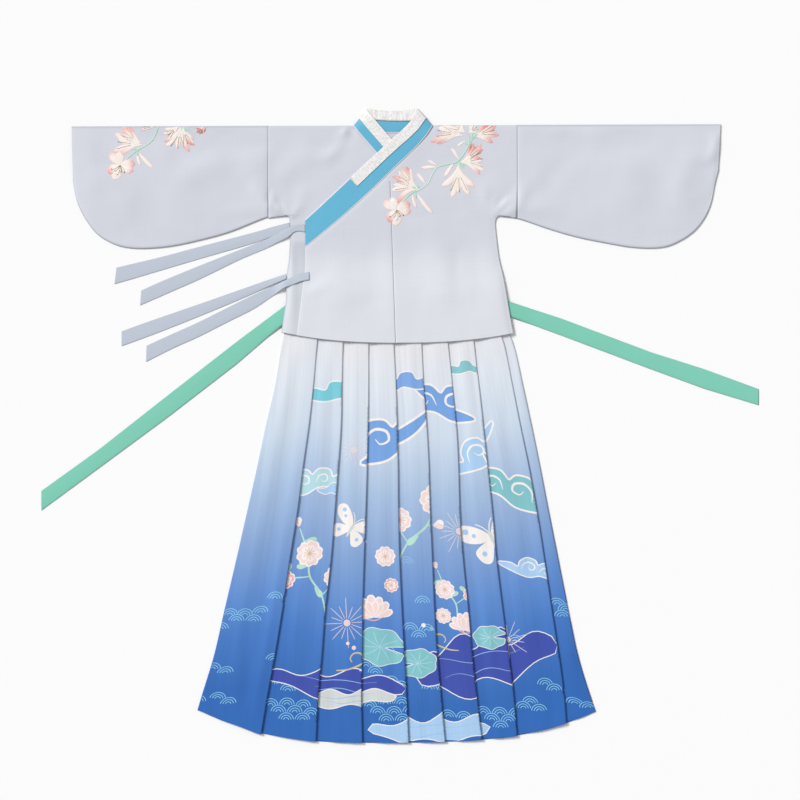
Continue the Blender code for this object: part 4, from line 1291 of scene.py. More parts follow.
def skirt_surface(face, back_from_fold, share):
    """A point on a face's cloth, given how far it is from the face's fold. Below zero it rounds it."""
    fold, before = edge_at(face, share), edge_at(face - 1, share)
    rise = pleat_rise(share)
    high = SKIRT_HIGH - 4 * (PLEAT_RADIUS - rise) if face <= PLEATS else SKIRT_LOW
    bulge = fold_bulge(face, share)
    radius = rise + bulge / 2
    if back_from_fold < 0:
        a = min(pi, -back_from_fold / PLEAT_RADIUS)
        x = fold - FOLD_INSET + PLEAT_RADIUS * sin(a)
        z = high + bulge - radius + radius * cos(a)
        place = 1.0
    else:
        x = fold - FOLD_INSET - back_from_fold
        underlap = mix(UNDERLAP[0], UNDERLAP[1], share)
        place = (x - before) / (fold - before)
        flat_from = 1 - (underlap + 2) / (fold - before)
        climb = smooth((place - 0.04) / max(0.25, flat_from - 0.04))
        z = mix(SKIRT_LOW, high, climb) + bulge * exp(-((back_from_fold / BULGE_WIDTH) ** 2))
    climbed = z
    y = mix(SKIRT_TOP, hem_at(x), share) + 3.2 * share**6 * (1 - smooth(place / 0.5)) * (face > 1)
    least = SKIRT_LOW - 0.2
    if back_from_fold >= 0:
        least = mix(least, high - min(0.6, 2 * rise - 0.7), smooth((underlap + 14.0 - back_from_fold) / 10.0))
    fade = smooth((share - 0.03) / 0.1) * smooth(place / 0.18) * smooth((1.02 - place) / 0.12)
    if fade > 0:
        width = fold - before
        wave = 0.9 * noise.noise(Vector((x / 24.0, y / 240.0, 3.0 + face)))
        for of_face, at, start, end, wide, height in SKIRT_RIPPLES:
            if of_face == face and start - 0.05 < share < end + 0.05:
                q = (place - at) * width / wide
                wave += 1.5 * height * exp(-q * q) * smooth((share - start + 0.05) / 0.15) * smooth(
                    (end + 0.05 - share) / 0.15)
        z += fade * wave
    return (x, y, max(z, min(least, climbed) if face <= PLEATS else SKIRT_LOW - 0.2))


def skirt_face_width(face, share):
    """How far a face's cloth reaches back from its fold."""
    width = edge_at(face, share) - edge_at(face - 1, share)
    return width - 2 * FOLD_INSET if face == 1 else width - FOLD_INSET + HIDDEN


def unfolded_at(x, y):
    """The place on the unfolded cloth of a spot that shows on the laid-out skirt."""
    share = (SKIRT_TOP - y) / (SKIRT_TOP - hem_at(x))
    for face in range(1, PLEATS + 2):
        if x <= edge_at(face, share) or face == PLEATS + 1:
            return FOLD_PLACES[face - 1] - (edge_at(face, share) - FOLD_INSET - x), share * SKIRT_LENGTH


PRINT_STEP = 4.0            # length of a printed curve's straight parts


def closed_curve(points):
    """A smooth closed outline through given points."""
    loop, count = list(points), len(points)
    outline = []
    for k in range(count):
        p, q, r, s = (loop[(k + j) % count] for j in (-1, 0, 1, 2))
        parts = max(2, ceil((Vector(r) - Vector(q)).length / PRINT_STEP))
        for f in (i / parts for i in range(parts)):
            outline.append(smooth_point([p, q, r, s], 1 + f))
    return outline


def stroke(points, width, taper=1.0):
    """A printed line through points, narrower towards its ends."""
    line = []
    for k in range(len(points) - 1):
        parts = max(1, ceil((Vector(points[k + 1]) - Vector(points[k])).length / PRINT_STEP))
        line += [smooth_point(points, k + i / parts) for i in range(parts)]
    line.append(tuple(points[-1]))
    left, right = [], []
    for k, at in enumerate(line):
        run = Vector(line[min(k + 1, len(line) - 1)]) - Vector(line[max(k - 1, 0)])
        run.normalize()
        t = k / (len(line) - 1)
        wide = width / 2 * mix(1.0, sin(pi * mix(0.06, 0.94, t)), taper)
        left.append((at[0] - run.y * wide, at[1] + run.x * wide))
        right.append((at[0] + run.y * wide, at[1] - run.x * wide))
    return left + right[::-1]


def wider(outline, by):
    """An outline moved outwards by a little, for a pale edge round a printed shape."""
    area = sum(a[0] * b[1] - b[0] * a[1] for a, b in zip(outline, outline[1:] + outline[:1]))
    turn = 1 if area > 0 else -1
    moved = []
    for k, at in enumerate(outline):
        run = Vector(outline[(k + 1) % len(outline)]) - Vector(outline[k - 1])
        run.normalize()
        moved.append((at[0] + turn * run.y * by, at[1] - turn * run.x * by))
    return moved


def turned(points, angle):
    """Points turned round the middle by an angle in degrees."""
    c, n = cos(radians(angle)), sin(radians(angle))
    return [(a * c - b * n, a * n + b * c) for a, b in points]


def round_dot(x, y, radius, step=24):
    """A round outline, with a point at each step of so many degrees."""
    return [(x + radius * cos(radians(d)), y + radius * sin(radians(d))) for d in range(0, 360, step)]


PRINT = []                  # printed shapes on the unfolded cloth: outline, colour, cover


def ink(x, y, shapes, turn=0.0, size=1.0, flip=1):
    """Prints shapes round a spot of the laid-out skirt, held level where the cloth's hem slopes."""
    u, v = unfolded_at(x, y)
    (left_u, left_v), (right_u, right_v) = unfolded_at(x - 4.0, y), unfolded_at(x + 4.0, y)
    slope = (right_v - left_v) / (right_u - left_u) if 0 < right_u - left_u < 12 else 0.0
    for outline, colour, cover in shapes:
        sized = turned([(flip * a * size, b * size) for a, b in outline], turn)
        PRINT.append(([(u + a, v + a * slope - b) for a, b in sized], colour, cover))


CREAM, ROSE, CORAL = srgb(240, 233, 228), srgb(238, 212, 208), srgb(233, 176, 170)
TEAL, BRIGHT_TEAL, PALE_TEAL = srgb(128, 190, 196), srgb(112, 198, 212), srgb(176, 214, 222)
CLOUD_BLUE, PALE_BLUE, DEEP_BLUE = srgb(116, 160, 218), srgb(166, 200, 232), srgb(60, 78, 166)
STONE, GOLD, LEAF_GREEN = srgb(204, 210, 208), srgb(206, 190, 140), srgb(178, 216, 200)
WAVE_LINE = srgb(150, 214, 236)


def scroll_cloud(fill):
    """A lucky cloud: a lobed head with a curl in it and a trailing tail."""
    body = closed_curve([
        (-78, -6), (-52, 2), (-34, -2), (-30, 12), (-16, 24), (2, 22), (10, 12), (24, 20), (42, 14),
        (46, 0), (66, 4), (92, 12), (70, -6), (44, -14), (16, -12), (-8, -20), (-40, -16),
    ])
    curl = stroke([(-26, -6), (-22, 8), (-10, 15), (2, 10), (2, 0), (-8, -2), (-12, 5)], 3.2)
    curl_2 = stroke([(14, -4), (22, 8), (34, 8), (36, -2), (28, -5), (25, 1)], 2.8)
    return [(wider(body, 2.6), CREAM, 1.0), (body, fill, 1.0), (curl, CREAM, 1.0), (curl_2, CREAM, 1.0)]


def wisp(fill):
    """A small loose piece of cloud."""
    body = closed_curve([
        (-40, -4), (-20, 4), (-12, 16), (4, 18), (12, 8), (28, 12), (34, 0), (14, -6), (-8, -4), (-20, -10),
    ])
    return [(wider(body, 2.0), CREAM, 0.9), (body, fill, 0.95)]


def petal_outline(reach, wide, angle, notch=0.0):
    """One petal from the middle of a flower outwards."""
    points = [
        (0, 0), (0.35 * reach, 0.34 * wide), (0.72 * reach, 0.5 * wide), (0.97 * reach, 0.26 * wide),
        (reach * (1 - notch), 0), (0.97 * reach, -0.26 * wide), (0.72 * reach, -0.5 * wide),
        (0.35 * reach, -0.34 * wide),
    ]
    return closed_curve(turned(points, angle))


def blossom(reach, turn, tips=ROSE):
    """A round five-petalled blossom with a small heart and stamens."""
    shapes = []
    for k in range(5):
        angle = turn + 72 * k
        shapes.append((petal_outline(reach, reach * 0.98, angle, 0.10), CREAM, 1.0))
        shapes.append((petal_outline(reach * 0.9, reach * 0.78, angle, 0.08), tips, 1.0))
        shapes.append((petal_outline(reach * 0.62, reach * 0.5, angle), CREAM, 1.0))
    for k in range(10):
        a = radians(turn + 36 * k + 8)
        far = reach * (0.42 if k % 2 else 0.5)
        shapes.append((stroke([(0, 0), (far * cos(a), far * sin(a))], 1.2, 0.4), CORAL, 1.0))
    return shapes + [(round_dot(0, 0, reach * 0.12, 30), GOLD, 1.0)]


def moved(shapes, x, y, turn=0.0):
    """Printed shapes turned, then moved."""
    return [
        ([(x + a, y + b) for a, b in turned(outline, turn)], colour, cover)
        for outline, colour, cover in shapes
    ]


def blossom_sprig():
    """A bending twig with three blossoms, buds and a few leaves."""
    shapes = [
        (stroke([(-58, -62), (-34, -30), (-4, -10), (14, 20), (42, 52)], 3.0, 0.5), LEAF_GREEN, 1.0),
        (stroke([(-4, -10), (22, -22), (44, -20)], 2.4, 0.5), LEAF_GREEN, 1.0),
        (stroke([(-34, -30), (-44, -4), (-40, 16)], 2.4, 0.5), LEAF_GREEN, 1.0),
    ]
    for x, y, angle in ((-18, -22, 210), (4, 6, 330), (28, 36, 150), (30, -22, 80)):
        shapes += moved([(petal_outline(20, 9, 0), LEAF_GREEN, 1.0)], x, y, angle)
    for x, y, angle in ((44, 54, 50), (48, -18, 0), (-42, 22, 100)):
        shapes += moved([
            (petal_outline(15, 10, 12), CREAM, 1.0), (petal_outline(14, 7, -14), ROSE, 1.0),
        ], x, y, angle)
    shapes += moved(blossom(21, 15), 12, 22)
    shapes += moved(blossom(17, 50), -40, 2)
    shapes += moved(blossom(15, 0, CORAL), 28, -28)
    return shapes


def butterfly():
    """A plain butterfly, wings spread."""
    shapes = []
    for side in (1, -1):
        upper = closed_curve([
            (0, 4), (side * 12, 24), (side * 34, 38), (side * 48, 30), (side * 40, 12), (side * 18, 2),
        ])
        lower = closed_curve([
            (0, 0), (side * 18, 0), (side * 34, -8), (side * 30, -26), (side * 18, -30), (side * 6, -14),
        ])
        shapes += [(upper, CREAM, 1.0), (lower, CREAM, 1.0)]
        for x, y, r in ((33, 27, 4.5), (24, 17, 3.4), (22, -14, 4.0)):
            shapes.append((round_dot(side * x, y, r, 30), PALE_BLUE, 1.0))
        shapes.append((stroke([(0, 12), (side * 6, 24), (side * 14, 32)], 1.6, 0.3), CREAM, 1.0))
    shapes.append((closed_curve([(-2.4, 12), (2.4, 12), (2.6, -12), (0, -20), (-2.6, -12)]), STONE, 1.0))
    return shapes


def lotus_leaf(radius):
    """A round leaf with a notch, a wavy rim and fine veins."""
    rim = []
    for d in range(12, 349, 9):
        r = radius * (1 + 0.05 * sin(radians(d * 7)))
        rim.append((r * cos(radians(d)), 0.72 * r * sin(radians(d))))
    rim.append((radius * 0.2, 0))
    outline = closed_curve(rim)
    shapes = [(wider(outline, 1.6), CREAM, 0.9), (outline, TEAL, 1.0)]
    for d in range(35, 341, 38):
        far = radius * 0.82
        shapes.append((stroke([
            (0, 0), (0.5 * far * cos(radians(d + 5)), 0.36 * far * sin(radians(d + 5))),
            (far * cos(radians(d)), 0.72 * far * sin(radians(d))),
        ], 1.3, 0.6), PALE_TEAL, 1.0))
    return shapes


def lotus_flower(reach):
    """A water lily from the side: pointed petals in a fan."""
    shapes = []
    for angle, far, wide in (
        (12, 1.0, 0.34), (168, 1.0, 0.34), (38, 1.05, 0.4), (142, 1.05, 0.4), (64, 1.08, 0.42),
        (116, 1.08, 0.42), (90, 1.12, 0.46), (50, 0.8, 0.34), (130, 0.8, 0.34), (75, 0.82, 0.34),
        (105, 0.82, 0.34),
    ):
        shapes.append((petal_outline(reach * far, reach * wide * 1.15, angle), CREAM, 1.0))
        shapes.append((petal_outline(reach * far * 0.92, reach * wide * 0.8, angle), ROSE, 1.0))
    shapes.append((stroke([(-reach * 0.5, -1), (0, -reach * 0.16), (reach * 0.5, -1)], 2.4), CORAL, 1.0))
    return shapes


def water_band(length, height, fill, phase=0.0):
    """A lying band of water with rolling edges and two ripple lines in it."""
    top = [
        (length * (k / 40 - 0.5), height * (0.5 + 0.22 * sin(k * 0.55 + phase)) * sin(pi * k / 40) ** 0.4)
        for k in range(41)
    ]
    low = [
        (length * (k / 40 - 0.5), -height * (0.5 + 0.2 * sin(k * 0.42 + phase + 2)) * sin(pi * k / 40) ** 0.4)
        for k in range(39, 0, -1)
    ]
    outline = top + low
    shapes = [(wider(outline, 2.2), CREAM, 1.0), (outline, fill, 1.0)]
    for offset, reach in ((0.14, 0.7), (-0.2, 0.5)):
        line = [
            (length * reach * (k / 14 - 0.5), height * (offset + 0.08 * sin(k * 0.9 + phase)))
            for k in range(15)
        ]
        shapes.append((stroke(line, 1.6), PALE_BLUE, 0.8))
    return shapes


def curls():
    """Small foam curls."""
    spiral = [
        ((14 - 2.6 * k) * cos(k * 0.9), (14 - 2.6 * k) * sin(k * 0.9)) for k in range(5)
    ]
    again = [(22 + a * 0.7, b * 0.7 - 4) for a, b in spiral]
    return [
        (stroke([(-22, -12), (-6, -10)] + spiral, 2.2, 0.6), GOLD, 1.0),
        (stroke([(6, -12)] + again, 2.0, 0.6), CREAM, 1.0),
    ]


def pearls(*spots):
    """Round dots: x, y, radius, colour."""
    return [(round_dot(x, y, r), colour, 1.0) for x, y, r, colour in spots]


def arc_line(x, y, radius, wide):
    """An arch, open at the bottom."""
    outline = []
    for edge, start, end in ((radius + wide / 2, 8, 172), (radius - wide / 2, 172, 8)):
        for k in range(12):
            a = radians(mix(start, end, k / 11))
            outline.append((x + edge * cos(a), y + edge * sin(a)))
    return outline


def waves(x, y, cells, cover):
    """The blue sea wave pattern: overlapping scales of three arcs. cells: column and row of each."""
    shapes, radius = [], 18.0
    for column, row in sorted(cells, key=lambda cell: cell[1]):
        at_x, at_y = column * radius * 1.15, -row * radius * 0.8
        shapes.append((round_dot(at_x, at_y, radius + 1, 15), (0.0, 0.0, 0.0), 0.0))
        for share in (0.95, 0.64, 0.33):
            shapes.append((arc_line(at_x, at_y, radius * share, 1.6), WAVE_LINE, cover))
    ink(x, y, shapes)


def star_burst(x, y, reach, rays, turn, disc, cover):
    """A small round sun with thin rays of uneven length."""
    shapes = []
    for k in range(rays):
        a = radians(turn + 360 * k / rays)
        far = reach * (1.0, 0.72, 0.88, 0.66)[k % 4]
        shapes.append((stroke([
            (disc * 1.35 * cos(a), disc * 1.35 * sin(a)), (far * cos(a), far * sin(a)),
        ], 1.7, 0.4), ROSE, cover * 0.85))
    ink(x, y, shapes + [(round_dot(0, 0, disc), ROSE, cover)])


# Sea waves, under all the rest. x, y of the first scale, column and row of each scale.
for x, y, cells in (
    (-392, -436, [(0, 0), (1.6, 0), (3.2, -0.4), (0.8, 1), (2.6, 1)]),
    (-402, -452, [(-0.4, 1.2)]),
    (-288, -398, [(0, 0)]),
    (-432, -560, [(0, 0), (1.4, 0.8)]),
    (-420, -628, [(0, 0), (1.2, 1.0), (-2.0, 0.6)]),
    (-292, -540, [(0, 0), (1.3, 0.2)]),
    (-278, -596, [(0, 0), (1, 1)]),
    (-298, -646, [(0, 0), (1.8, -0.2), (3.6, 0.1), (0.9, 1), (2.7, 1), (4.5, 1.4), (3.6, 2.2), (1.8, 2.2)]),
    (-78, -556, [(0, 0), (1.0, 1)]),
    (-28, -524, [(0, 0)]),
    (-20, -592, [(0, 0), (1.1, 0.8)]),
    (-70, -648, [(0, 0), (1.8, -0.5), (3.6, -0.5), (0.9, 1), (2.7, 1), (4.5, 0.8), (1.8, 2.2), (3.6, 2.2)]),
    (14, -318, [(0, 0)]),
    (52, -408, [(0, 0)]),
    (24, -470, [(0, 0), (1.8, 0.2), (0.9, 1.2)]),
    (68, -606, [(0, 0), (1.7, 0.2)]),
    (112, -672, [(0, 0), (1.7, 0.1)]),
    (192, -664, [(0, 0), (1.8, 0), (3.6, 0.2), (0.9, 1), (2.7, 1.2), (1.8, 2.2)]),
    (284, -652, [(0, 0), (1.7, 0.4), (0.8, -0.9)]),
    (334, -596, [(0, 0), (0.9, 1)]),
    (266, -498, [(0, 0), (1.0, 1), (2.8, 1.2), (4.5, 1.6), (5.6, 0.6), (1.9, 0.2)]),
    (362, -412, [(0, 0), (0.8, 1), (0.3, 2.1)]),
    (402, -640, [(0, 0), (1.2, 0.8)]),
):
    waves(x, y, cells, cover=0.5 if y > -320 else 0.8)
# Clouds near the waist
ink(-150, 70, wisp(BRIGHT_TEAL), 6, 1.7, -1)
ink(-30, -34, scroll_cloud(CLOUD_BLUE), 14, 2.1)
ink(110, 50, scroll_cloud(CLOUD_BLUE), -10, 1.8, -1)
ink(190, -60, scroll_cloud(PALE_BLUE), 24, 1.5)
ink(20, 96, wisp(CLOUD_BLUE), -4, 1.5)
ink(150, 130, wisp(TEAL), 10, 1.1, -1)
ink(-212, -130, scroll_cloud(PALE_TEAL), 12, 1.25)
ink(262, -150, scroll_cloud(TEAL), -24, 1.7, -1)
# Sprigs and butterflies in the middle
ink(66, -210, blossom_sprig(), 8, 1.7)
ink(-206, -330, blossom_sprig(), -20, 1.5, -1)
ink(120, -400, blossom_sprig(), 60, 1.1)
ink(214, -262, butterfly(), 24, 1.5)
ink(-112, -236, butterfly(), -30, 1.1)
ink(-34, -300, blossom(24, 20), 0, 1.0)
ink(-20, -366, blossom(17, 40, CORAL), 0, 1.0)
ink(-150, -150, wisp(PALE_BLUE), -10, 1.0)
ink(306, -330, scroll_cloud(PALE_BLUE), -14, 1.0)
# Pond near the hem
ink(170, -548, water_band(520, 110, DEEP_BLUE), 4, 1.0)
ink(-150, -596, water_band(460, 56, DEEP_BLUE, 1.0), -3, 1.0)
ink(-96, -628, water_band(300, 34, STONE, 1.6), 2, 1.0)
ink(96, -700, water_band(460, 60, PALE_BLUE, 2.0), 2, 1.0)
ink(-46, -508, lotus_leaf(58), -8, 1.0)
ink(40, -546, lotus_leaf(44), 10, 1.0, -1)
ink(206, -486, lotus_leaf(36), 4, 1.0)
ink(-60, -440, lotus_flower(46), 6, 1.0)
ink(150, -470, lotus_flower(38), -10, 1.0)
ink(-104, -540, curls(), 0, 1.9)
ink(96, -496, curls(), 0, 1.7, -1)
ink(54, -458, pearls((0, 0, 5, CREAM), (18, -8, 4.4, TEAL), (34, 2, 5, ROSE), (48, -10, 4, CREAM)))
ink(-120, -500, pearls((0, 0, 4, CREAM), (14, -10, 5, ROSE)))
# Small suns
star_burst(-106, -55, 40, 16, 8, 8.0, 0.6)
star_burst(-122, -453, 58, 16, 4, 8.0, 0.85)
star_burst(136, -242, 56, 18, 0, 8.0, 0.8)
star_burst(248, -492, 52, 14, 10, 7.0, 0.8)


def skirt(material):
    """The pleated front and the plain back, as one ring of cloth, with the print's outlines in it."""
    bm = bmesh.new()
    unfolded = bm.loops.layers.uv.new("unfolded")
    printed = bm.loops.layers.float_color.new("print")
    from_fold = bm.verts.layers.float.new("from_fold")
    shares = [k / SKIRT_STEPS for k in range(SKIRT_STEPS + 1)]
    wrap = pi * PLEAT_RADIUS

    def grid(lines, places):
        """A plain strip of cloth between lines of points that run down the skirt."""
        verts = [[bm.verts.new(Vector(p) * MM) for p in line] for line in lines]
        for line in verts:
            for vert in line:
                vert[from_fold] = 10 * FOLD_SHADE_REACH
        for c in range(len(lines) - 1):
            for r in range(SKIRT_STEPS):
                face = bm.faces.new((verts[c][r], verts[c][r + 1], verts[c + 1][r + 1], verts[c + 1][r]))
                where = ((c, r), (c, r + 1), (c + 1, r + 1), (c + 1, r))
                for loop, (column, row) in zip(face.loops, where):
                    loop[unfolded].uv = (places[column] * MM, shares[row] * SKIRT_LENGTH * MM)
                    loop[printed] = (0.0, 0.0, 0.0, 0.0)

    for face in range(1, PLEATS + 2):
        fold_place = FOLD_PLACES[face - 1]
        points, edges = [], []
        left = [fold_place - skirt_face_width(face, s) for s in shares]
        right = fold_place + wrap
        columns = [-0.75 * wrap, -0.5 * wrap, -0.25 * wrap, 0.0, 1.5, 4.0, 8.0]
        while columns[-1] < 170:
            columns.append(columns[-1] + 7.5)
        outline = []
        for r, share in enumerate(shares):
            v = share * SKIRT_LENGTH
            inner = [fold_place - d for d in columns if fold_place - d > left[r] + 5.0]
            inner += [left[r] + 2.5]
            if r in (0, SKIRT_STEPS):
                outline.append([(left[r], v)] + sorted((u, v) for u in inner) + [(right, v)])
            else:
                points += [(u, v) for u in inner]
        ring = (
            outline[0]
            + [(right, s * SKIRT_LENGTH) for s in shares[1:-1]]
            + outline[1][::-1]
            + [(left[r], shares[r] * SKIRT_LENGTH) for r in range(SKIRT_STEPS - 1, 0, -1)]
        )
        base = len(points)
        points += ring
        edges += [(base + k, base + (k + 1) % len(ring)) for k in range(len(ring))]
        shapes = []
        for shape, colour, cover in PRINT:
            low = min(v for _, v in shape)
            high = max(v for _, v in shape)
            row = min(max(low / SKIRT_LENGTH, 0.0), 1.0)
            least = fold_place - max(skirt_face_width(face, row),
                                     skirt_face_width(face, min(max(high / SKIRT_LENGTH, 0.0), 1.0)))
            if max(u for u, _ in shape) < least + 1 or min(u for u, _ in shape) > fold_place - 0.5:
                continue
            inside = []
            for u, v in shape:
                v = min(max(v, 1.0), SKIRT_LENGTH - 1.0)
                edge = fold_place - skirt_face_width(face, v / SKIRT_LENGTH)
                inside.append((min(max(u, edge + 0.4), fold_place), v))
            kept = [inside[0]]
            for point in inside[1:]:
                if (point[0] - kept[-1][0]) ** 2 + (point[1] - kept[-1][1]) ** 2 > 0.04:
                    kept.append(point)
            if len(kept) < 3:
                continue
            shapes.append((kept, colour, cover))
            base = len(points)
            points += kept
            edges += [(base + k, base + (k + 1) % len(kept)) for k in range(len(kept))]
        out_points, _, triangles, _, _, _ = delaunay_2d_cdt(
            [Vector(p) for p in points], edges, [], 1, 0.01)
        verts = []
        for u, v in out_points:
            verts.append(bm.verts.new(Vector(skirt_surface(face, fold_place - u, v / SKIRT_LENGTH)) * MM))
            from_left = u - (fold_place - skirt_face_width(face, v / SKIRT_LENGTH))
            # The painted fold shade also runs along the first face's left side
            verts[-1][from_fold] = min(fold_place - u, from_left + 1.0 if face == 1 else 10 * FOLD_SHADE_REACH)
        boxes = [
            (min(u for u, _ in s), max(u for u, _ in s), min(v for _, v in s), max(v for _, v in s))
            for s, _, _ in shapes
        ]
        for triangle in triangles:
            if len(set(triangle)) < 3:
                continue
            u = sum(out_points[i][0] for i in triangle) / 3
            v = sum(out_points[i][1] for i in triangle) / 3
            paint = (0.0, 0.0, 0.0, 0.0)
            for (shape, colour, cover), (u0, u1, v0, v1) in zip(reversed(shapes), reversed(boxes)):
                if not (u0 <= u <= u1 and v0 <= v <= v1):
                    continue
                odd = False
                for (ax, ay), (bx, by) in zip(shape, shape[1:] + shape[:1]):
                    if (ay > v) != (by > v) and u < ax + (v - ay) * (bx - ax) / (by - ay):
                        odd = not odd
                if odd:
                    paint = (colour[0], colour[1], colour[2], cover)
                    break
            made = bm.faces.new([verts[i] for i in triangle])
            for loop, i in zip(made.loops, triangle):
                loop[unfolded].uv = (out_points[i][0] * MM, out_points[i][1] * MM)
                loop[printed] = paint
        if face <= PLEATS:
            beside = [skirt_surface(face, -wrap, s) for s in shares]

            def beneath(back, drop):
                """A line of the cloth folded under, so far back from the fold and so many rises down."""
                line = []
                for (x, _, z), share in zip(beside, shares):
                    x -= mix(UNDERLAP[0], UNDERLAP[1], share) + back
                    y = mix(SKIRT_TOP, hem_at(x), share) + 2.0 * share
                    line.append((x, y, z - drop * pleat_rise(share)))
                return line

            under = beneath(0.0, 0.0)
            turn = beneath(PLEAT_RADIUS, 1.0)
            low = beneath(0.0, 2.0)
            following = [
                skirt_surface(face + 1, skirt_face_width(face + 1, s), s) for s in shares
            ]
            places = [fold_place + wrap + d for d in (0.0, 26.0, 28.0, 30.0, 56.0)]
            grid([beside, under, turn, low, following], places)
    right_side = [skirt_surface(PLEATS + 1, -wrap, s) for s in shares]
    left_side = [skirt_surface(1, skirt_face_width(1, s), s) for s in shares]
    lines = [right_side]
    for k in range(1, 14):
        line = []
        for (rx, _, _), (lx, _, _), share in zip(right_side, left_side, shares):
            x = mix(rx, lx, k / 14)
            wave = 0.5 + 0.5 * noise.noise(Vector((x / 40.0, share * 3, 11.0)))
            line.append((x, mix(SKIRT_TOP, hem_at(x), share), SKIRT_BACK + 0.4 * wave * sin(pi * k / 14)))
        lines.append(line)
    lines.append([(x, mix(SKIRT_TOP, hem_at(x), s), SKIRT_BACK) for (x, _, _), s in zip(left_side, shares)])
    for angle in (pi / 4, pi / 2, 3 * pi / 4):
        lines.append([
            (x - PLEAT_RADIUS * sin(angle), mix(SKIRT_TOP, hem_at(x), s),
             mix(SKIRT_BACK, z, (1 - cos(angle)) / 2))
            for (x, _, z), s in zip(left_side, shares)
        ])
    lines.append(left_side)
    total = FOLD_PLACES[-1] + wrap
    grid(lines, [total + 60.0 * k for k in range(len(lines))])
    bmesh.ops.remove_doubles(bm, verts=bm.verts, dist=2e-6)
    bmesh.ops.recalc_face_normals(bm, faces=bm.faces)
    mesh = bpy.data.meshes.new("pleated_skirt")
    bm.to_mesh(mesh)
    bm.free()
    mesh.materials.append(material)
    mesh.shade_smooth()
    piece = placed("pleated_skirt", mesh)
    layer = piece.modifiers.new("cloth thickness", "SOLIDIFY")
    layer.thickness = SKIRT_CLOTH * MM
    layer.offset = 0
    shading = piece.modifiers.new("shading by area", "WEIGHTED_NORMAL")
    shading.mode = "FACE_AREA"
    return piece


skirt_cloth = cloth_material("skirt cloth", srgb(120, 165, 220), roughness=0.75, sheen=0.2,
                             threads=1600.0, slub=10.0, streaks=0.06)


def dye_and_print(material):
    """The dye deepens down the skirt, the print lies in the cloth over it, and shade is painted along the
    folds.
    """
    tree = material.node_tree
    place = add_node(tree, "UVMap", uv_map="unfolded")
    split = add_node(tree, "SeparateXYZ", {0: place})
    down = add_node(tree, "MapRange", {"Value": split.outputs["Y"], "From Max": SKIRT_LENGTH * MM})
    across = add_node(tree, "MapRange", {
        "Value": split.outputs["X"], "From Min": 0.0, "From Max": FOLD_PLACES[-1] * MM,
    })
    reach = ((0.0, 0.28), (0.14, 1.0), (0.3, 0.45), (0.72, 0.5), (0.84, 0.72), (1.0, 1.0))
    wander = ramp_node(tree, across, [(at, (high, high, high, 1)) for at, high in reach],
                       name="dye reaches higher")
    level = maths(tree, "ADD", down, maths(tree, "MULTIPLY_ADD", wander, 0.13, -0.06))
    dye = ramp_node(tree, level, [(at, srgb(*colour)) for at, colour in (
        # share down, colour
        (0.02, (229, 227, 228)), (0.16, (216, 222, 230)), (0.28, (199, 212, 226)),
        (0.41, (164, 187, 216)), (0.56, (126, 158, 204)), (0.67, (94, 138, 201)),
        (0.78, (66, 118, 190)), (0.92, (47, 102, 176)), (1.0, (44, 102, 178)),
    )])
    printed = add_node(tree, "Attribute", attribute_name="print")
    over = add_node(tree, "Mix", {
        "Factor": printed.outputs["Alpha"], "A": dye, "B": printed.outputs["Color"],
    }, data_type="RGBA")
    stretch = add_node(tree, "Mapping", {"Vector": place, "Scale": (130.0, 2.2, 1.0)})
    streak = add_node(tree, "TexNoise", {"Vector": stretch, "Scale": 1.0, "Detail": 3.0})
    strength = add_node(tree, "MapRange", {
        "Value": streak, "From Min": 0.35, "From Max": 0.7, "To Max": 0.6,
    })
    streaked = multiplied(tree, strength, over, (0.86, 0.88, 0.93, 1.0), name="streaks in the dye")
    # Painted shade along each fold and the skirt's left side, faint near the waist and full from the middle
    # down
    from_fold = add_node(tree, "Attribute", attribute_name="from_fold")
    close = add_node(tree, "MapRange", {
        "Value": from_fold.outputs["Fac"], "From Max": FOLD_SHADE_REACH, "To Min": 1.0, "To Max": 0.0,
    })
    lower_is_darker = add_node(tree, "MapRange", {
        "Value": down, "From Min": 0.05, "From Max": 0.6, "To Min": 0.3,
    })
    line = maths(tree, "MULTIPLY", maths(tree, "POWER", close, 2.0), lower_is_darker)
    fold_shaded = multiplied(tree, line, streaked, (0.42, 0.43, 0.58, 1.0), name="painted fold shade")
    put_in(tree.nodes["Principled BSDF"], {"Base Color": fold_shaded})
    tree.nodes.remove(tree.nodes["painted edge shade"])


dye_and_print(skirt_cloth)
pleated_skirt = skirt(skirt_cloth)
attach(pleated_skirt, "root")
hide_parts("skirt_cloth")


# Waistband and waist ties: mint-green cloth. The band is a plain flat tube hidden by the jacket, and
# a tie is sewn to each of its ends.
WAIST_TIES = {
    "waist_tie_left": [
        # x, upper, lower, z, raised
        (-825.5, -149.5, -194.0, 0.6, 0.0), (-693.0, -54.0, -96.5, 0.6, 0.0),
        (-534.0, 71.0, 21.0, 0.6, 0.0), (-376.0, 194.0, 143.0, 0.6, 0.0),
        (-305.0, 247.0, 204.0, 0.6, 0.0), (-261.85, 279.0, 238.0, 2.75, 0.0),
    ],
    "waist_tie_right": [
        (825.5, 85.0, 48.0, 0.6, 0.0), (700.0, 131.0, 86.0, 0.6, 0.0),
        (577.0, 170.0, 131.0, 0.6, 0.0), (371.0, 247.5, 208.5, 0.6, 0.0),
        (300.0, 270.5, 234.5, 0.6, 0.0), (243.85, 289.0, 254.0, 2.75, 0.0),
    ],
}
waist_cloth = cloth_material("waist tie cloth", srgb(124, 200, 178), roughness=0.6, sheen=0.2, slub=24.0)
BAND_LEFT, BAND_RIGHT, BAND_LOW, BAND_TOP = -258.7, 240.7, 235.3, 277.3
BAND_MIDDLE, BAND_ROUND = (SKIRT_HIGH + SKIRT_BACK) / 2, (SKIRT_HIGH - SKIRT_BACK) / 2
waist_rows, waist_flat = [], []
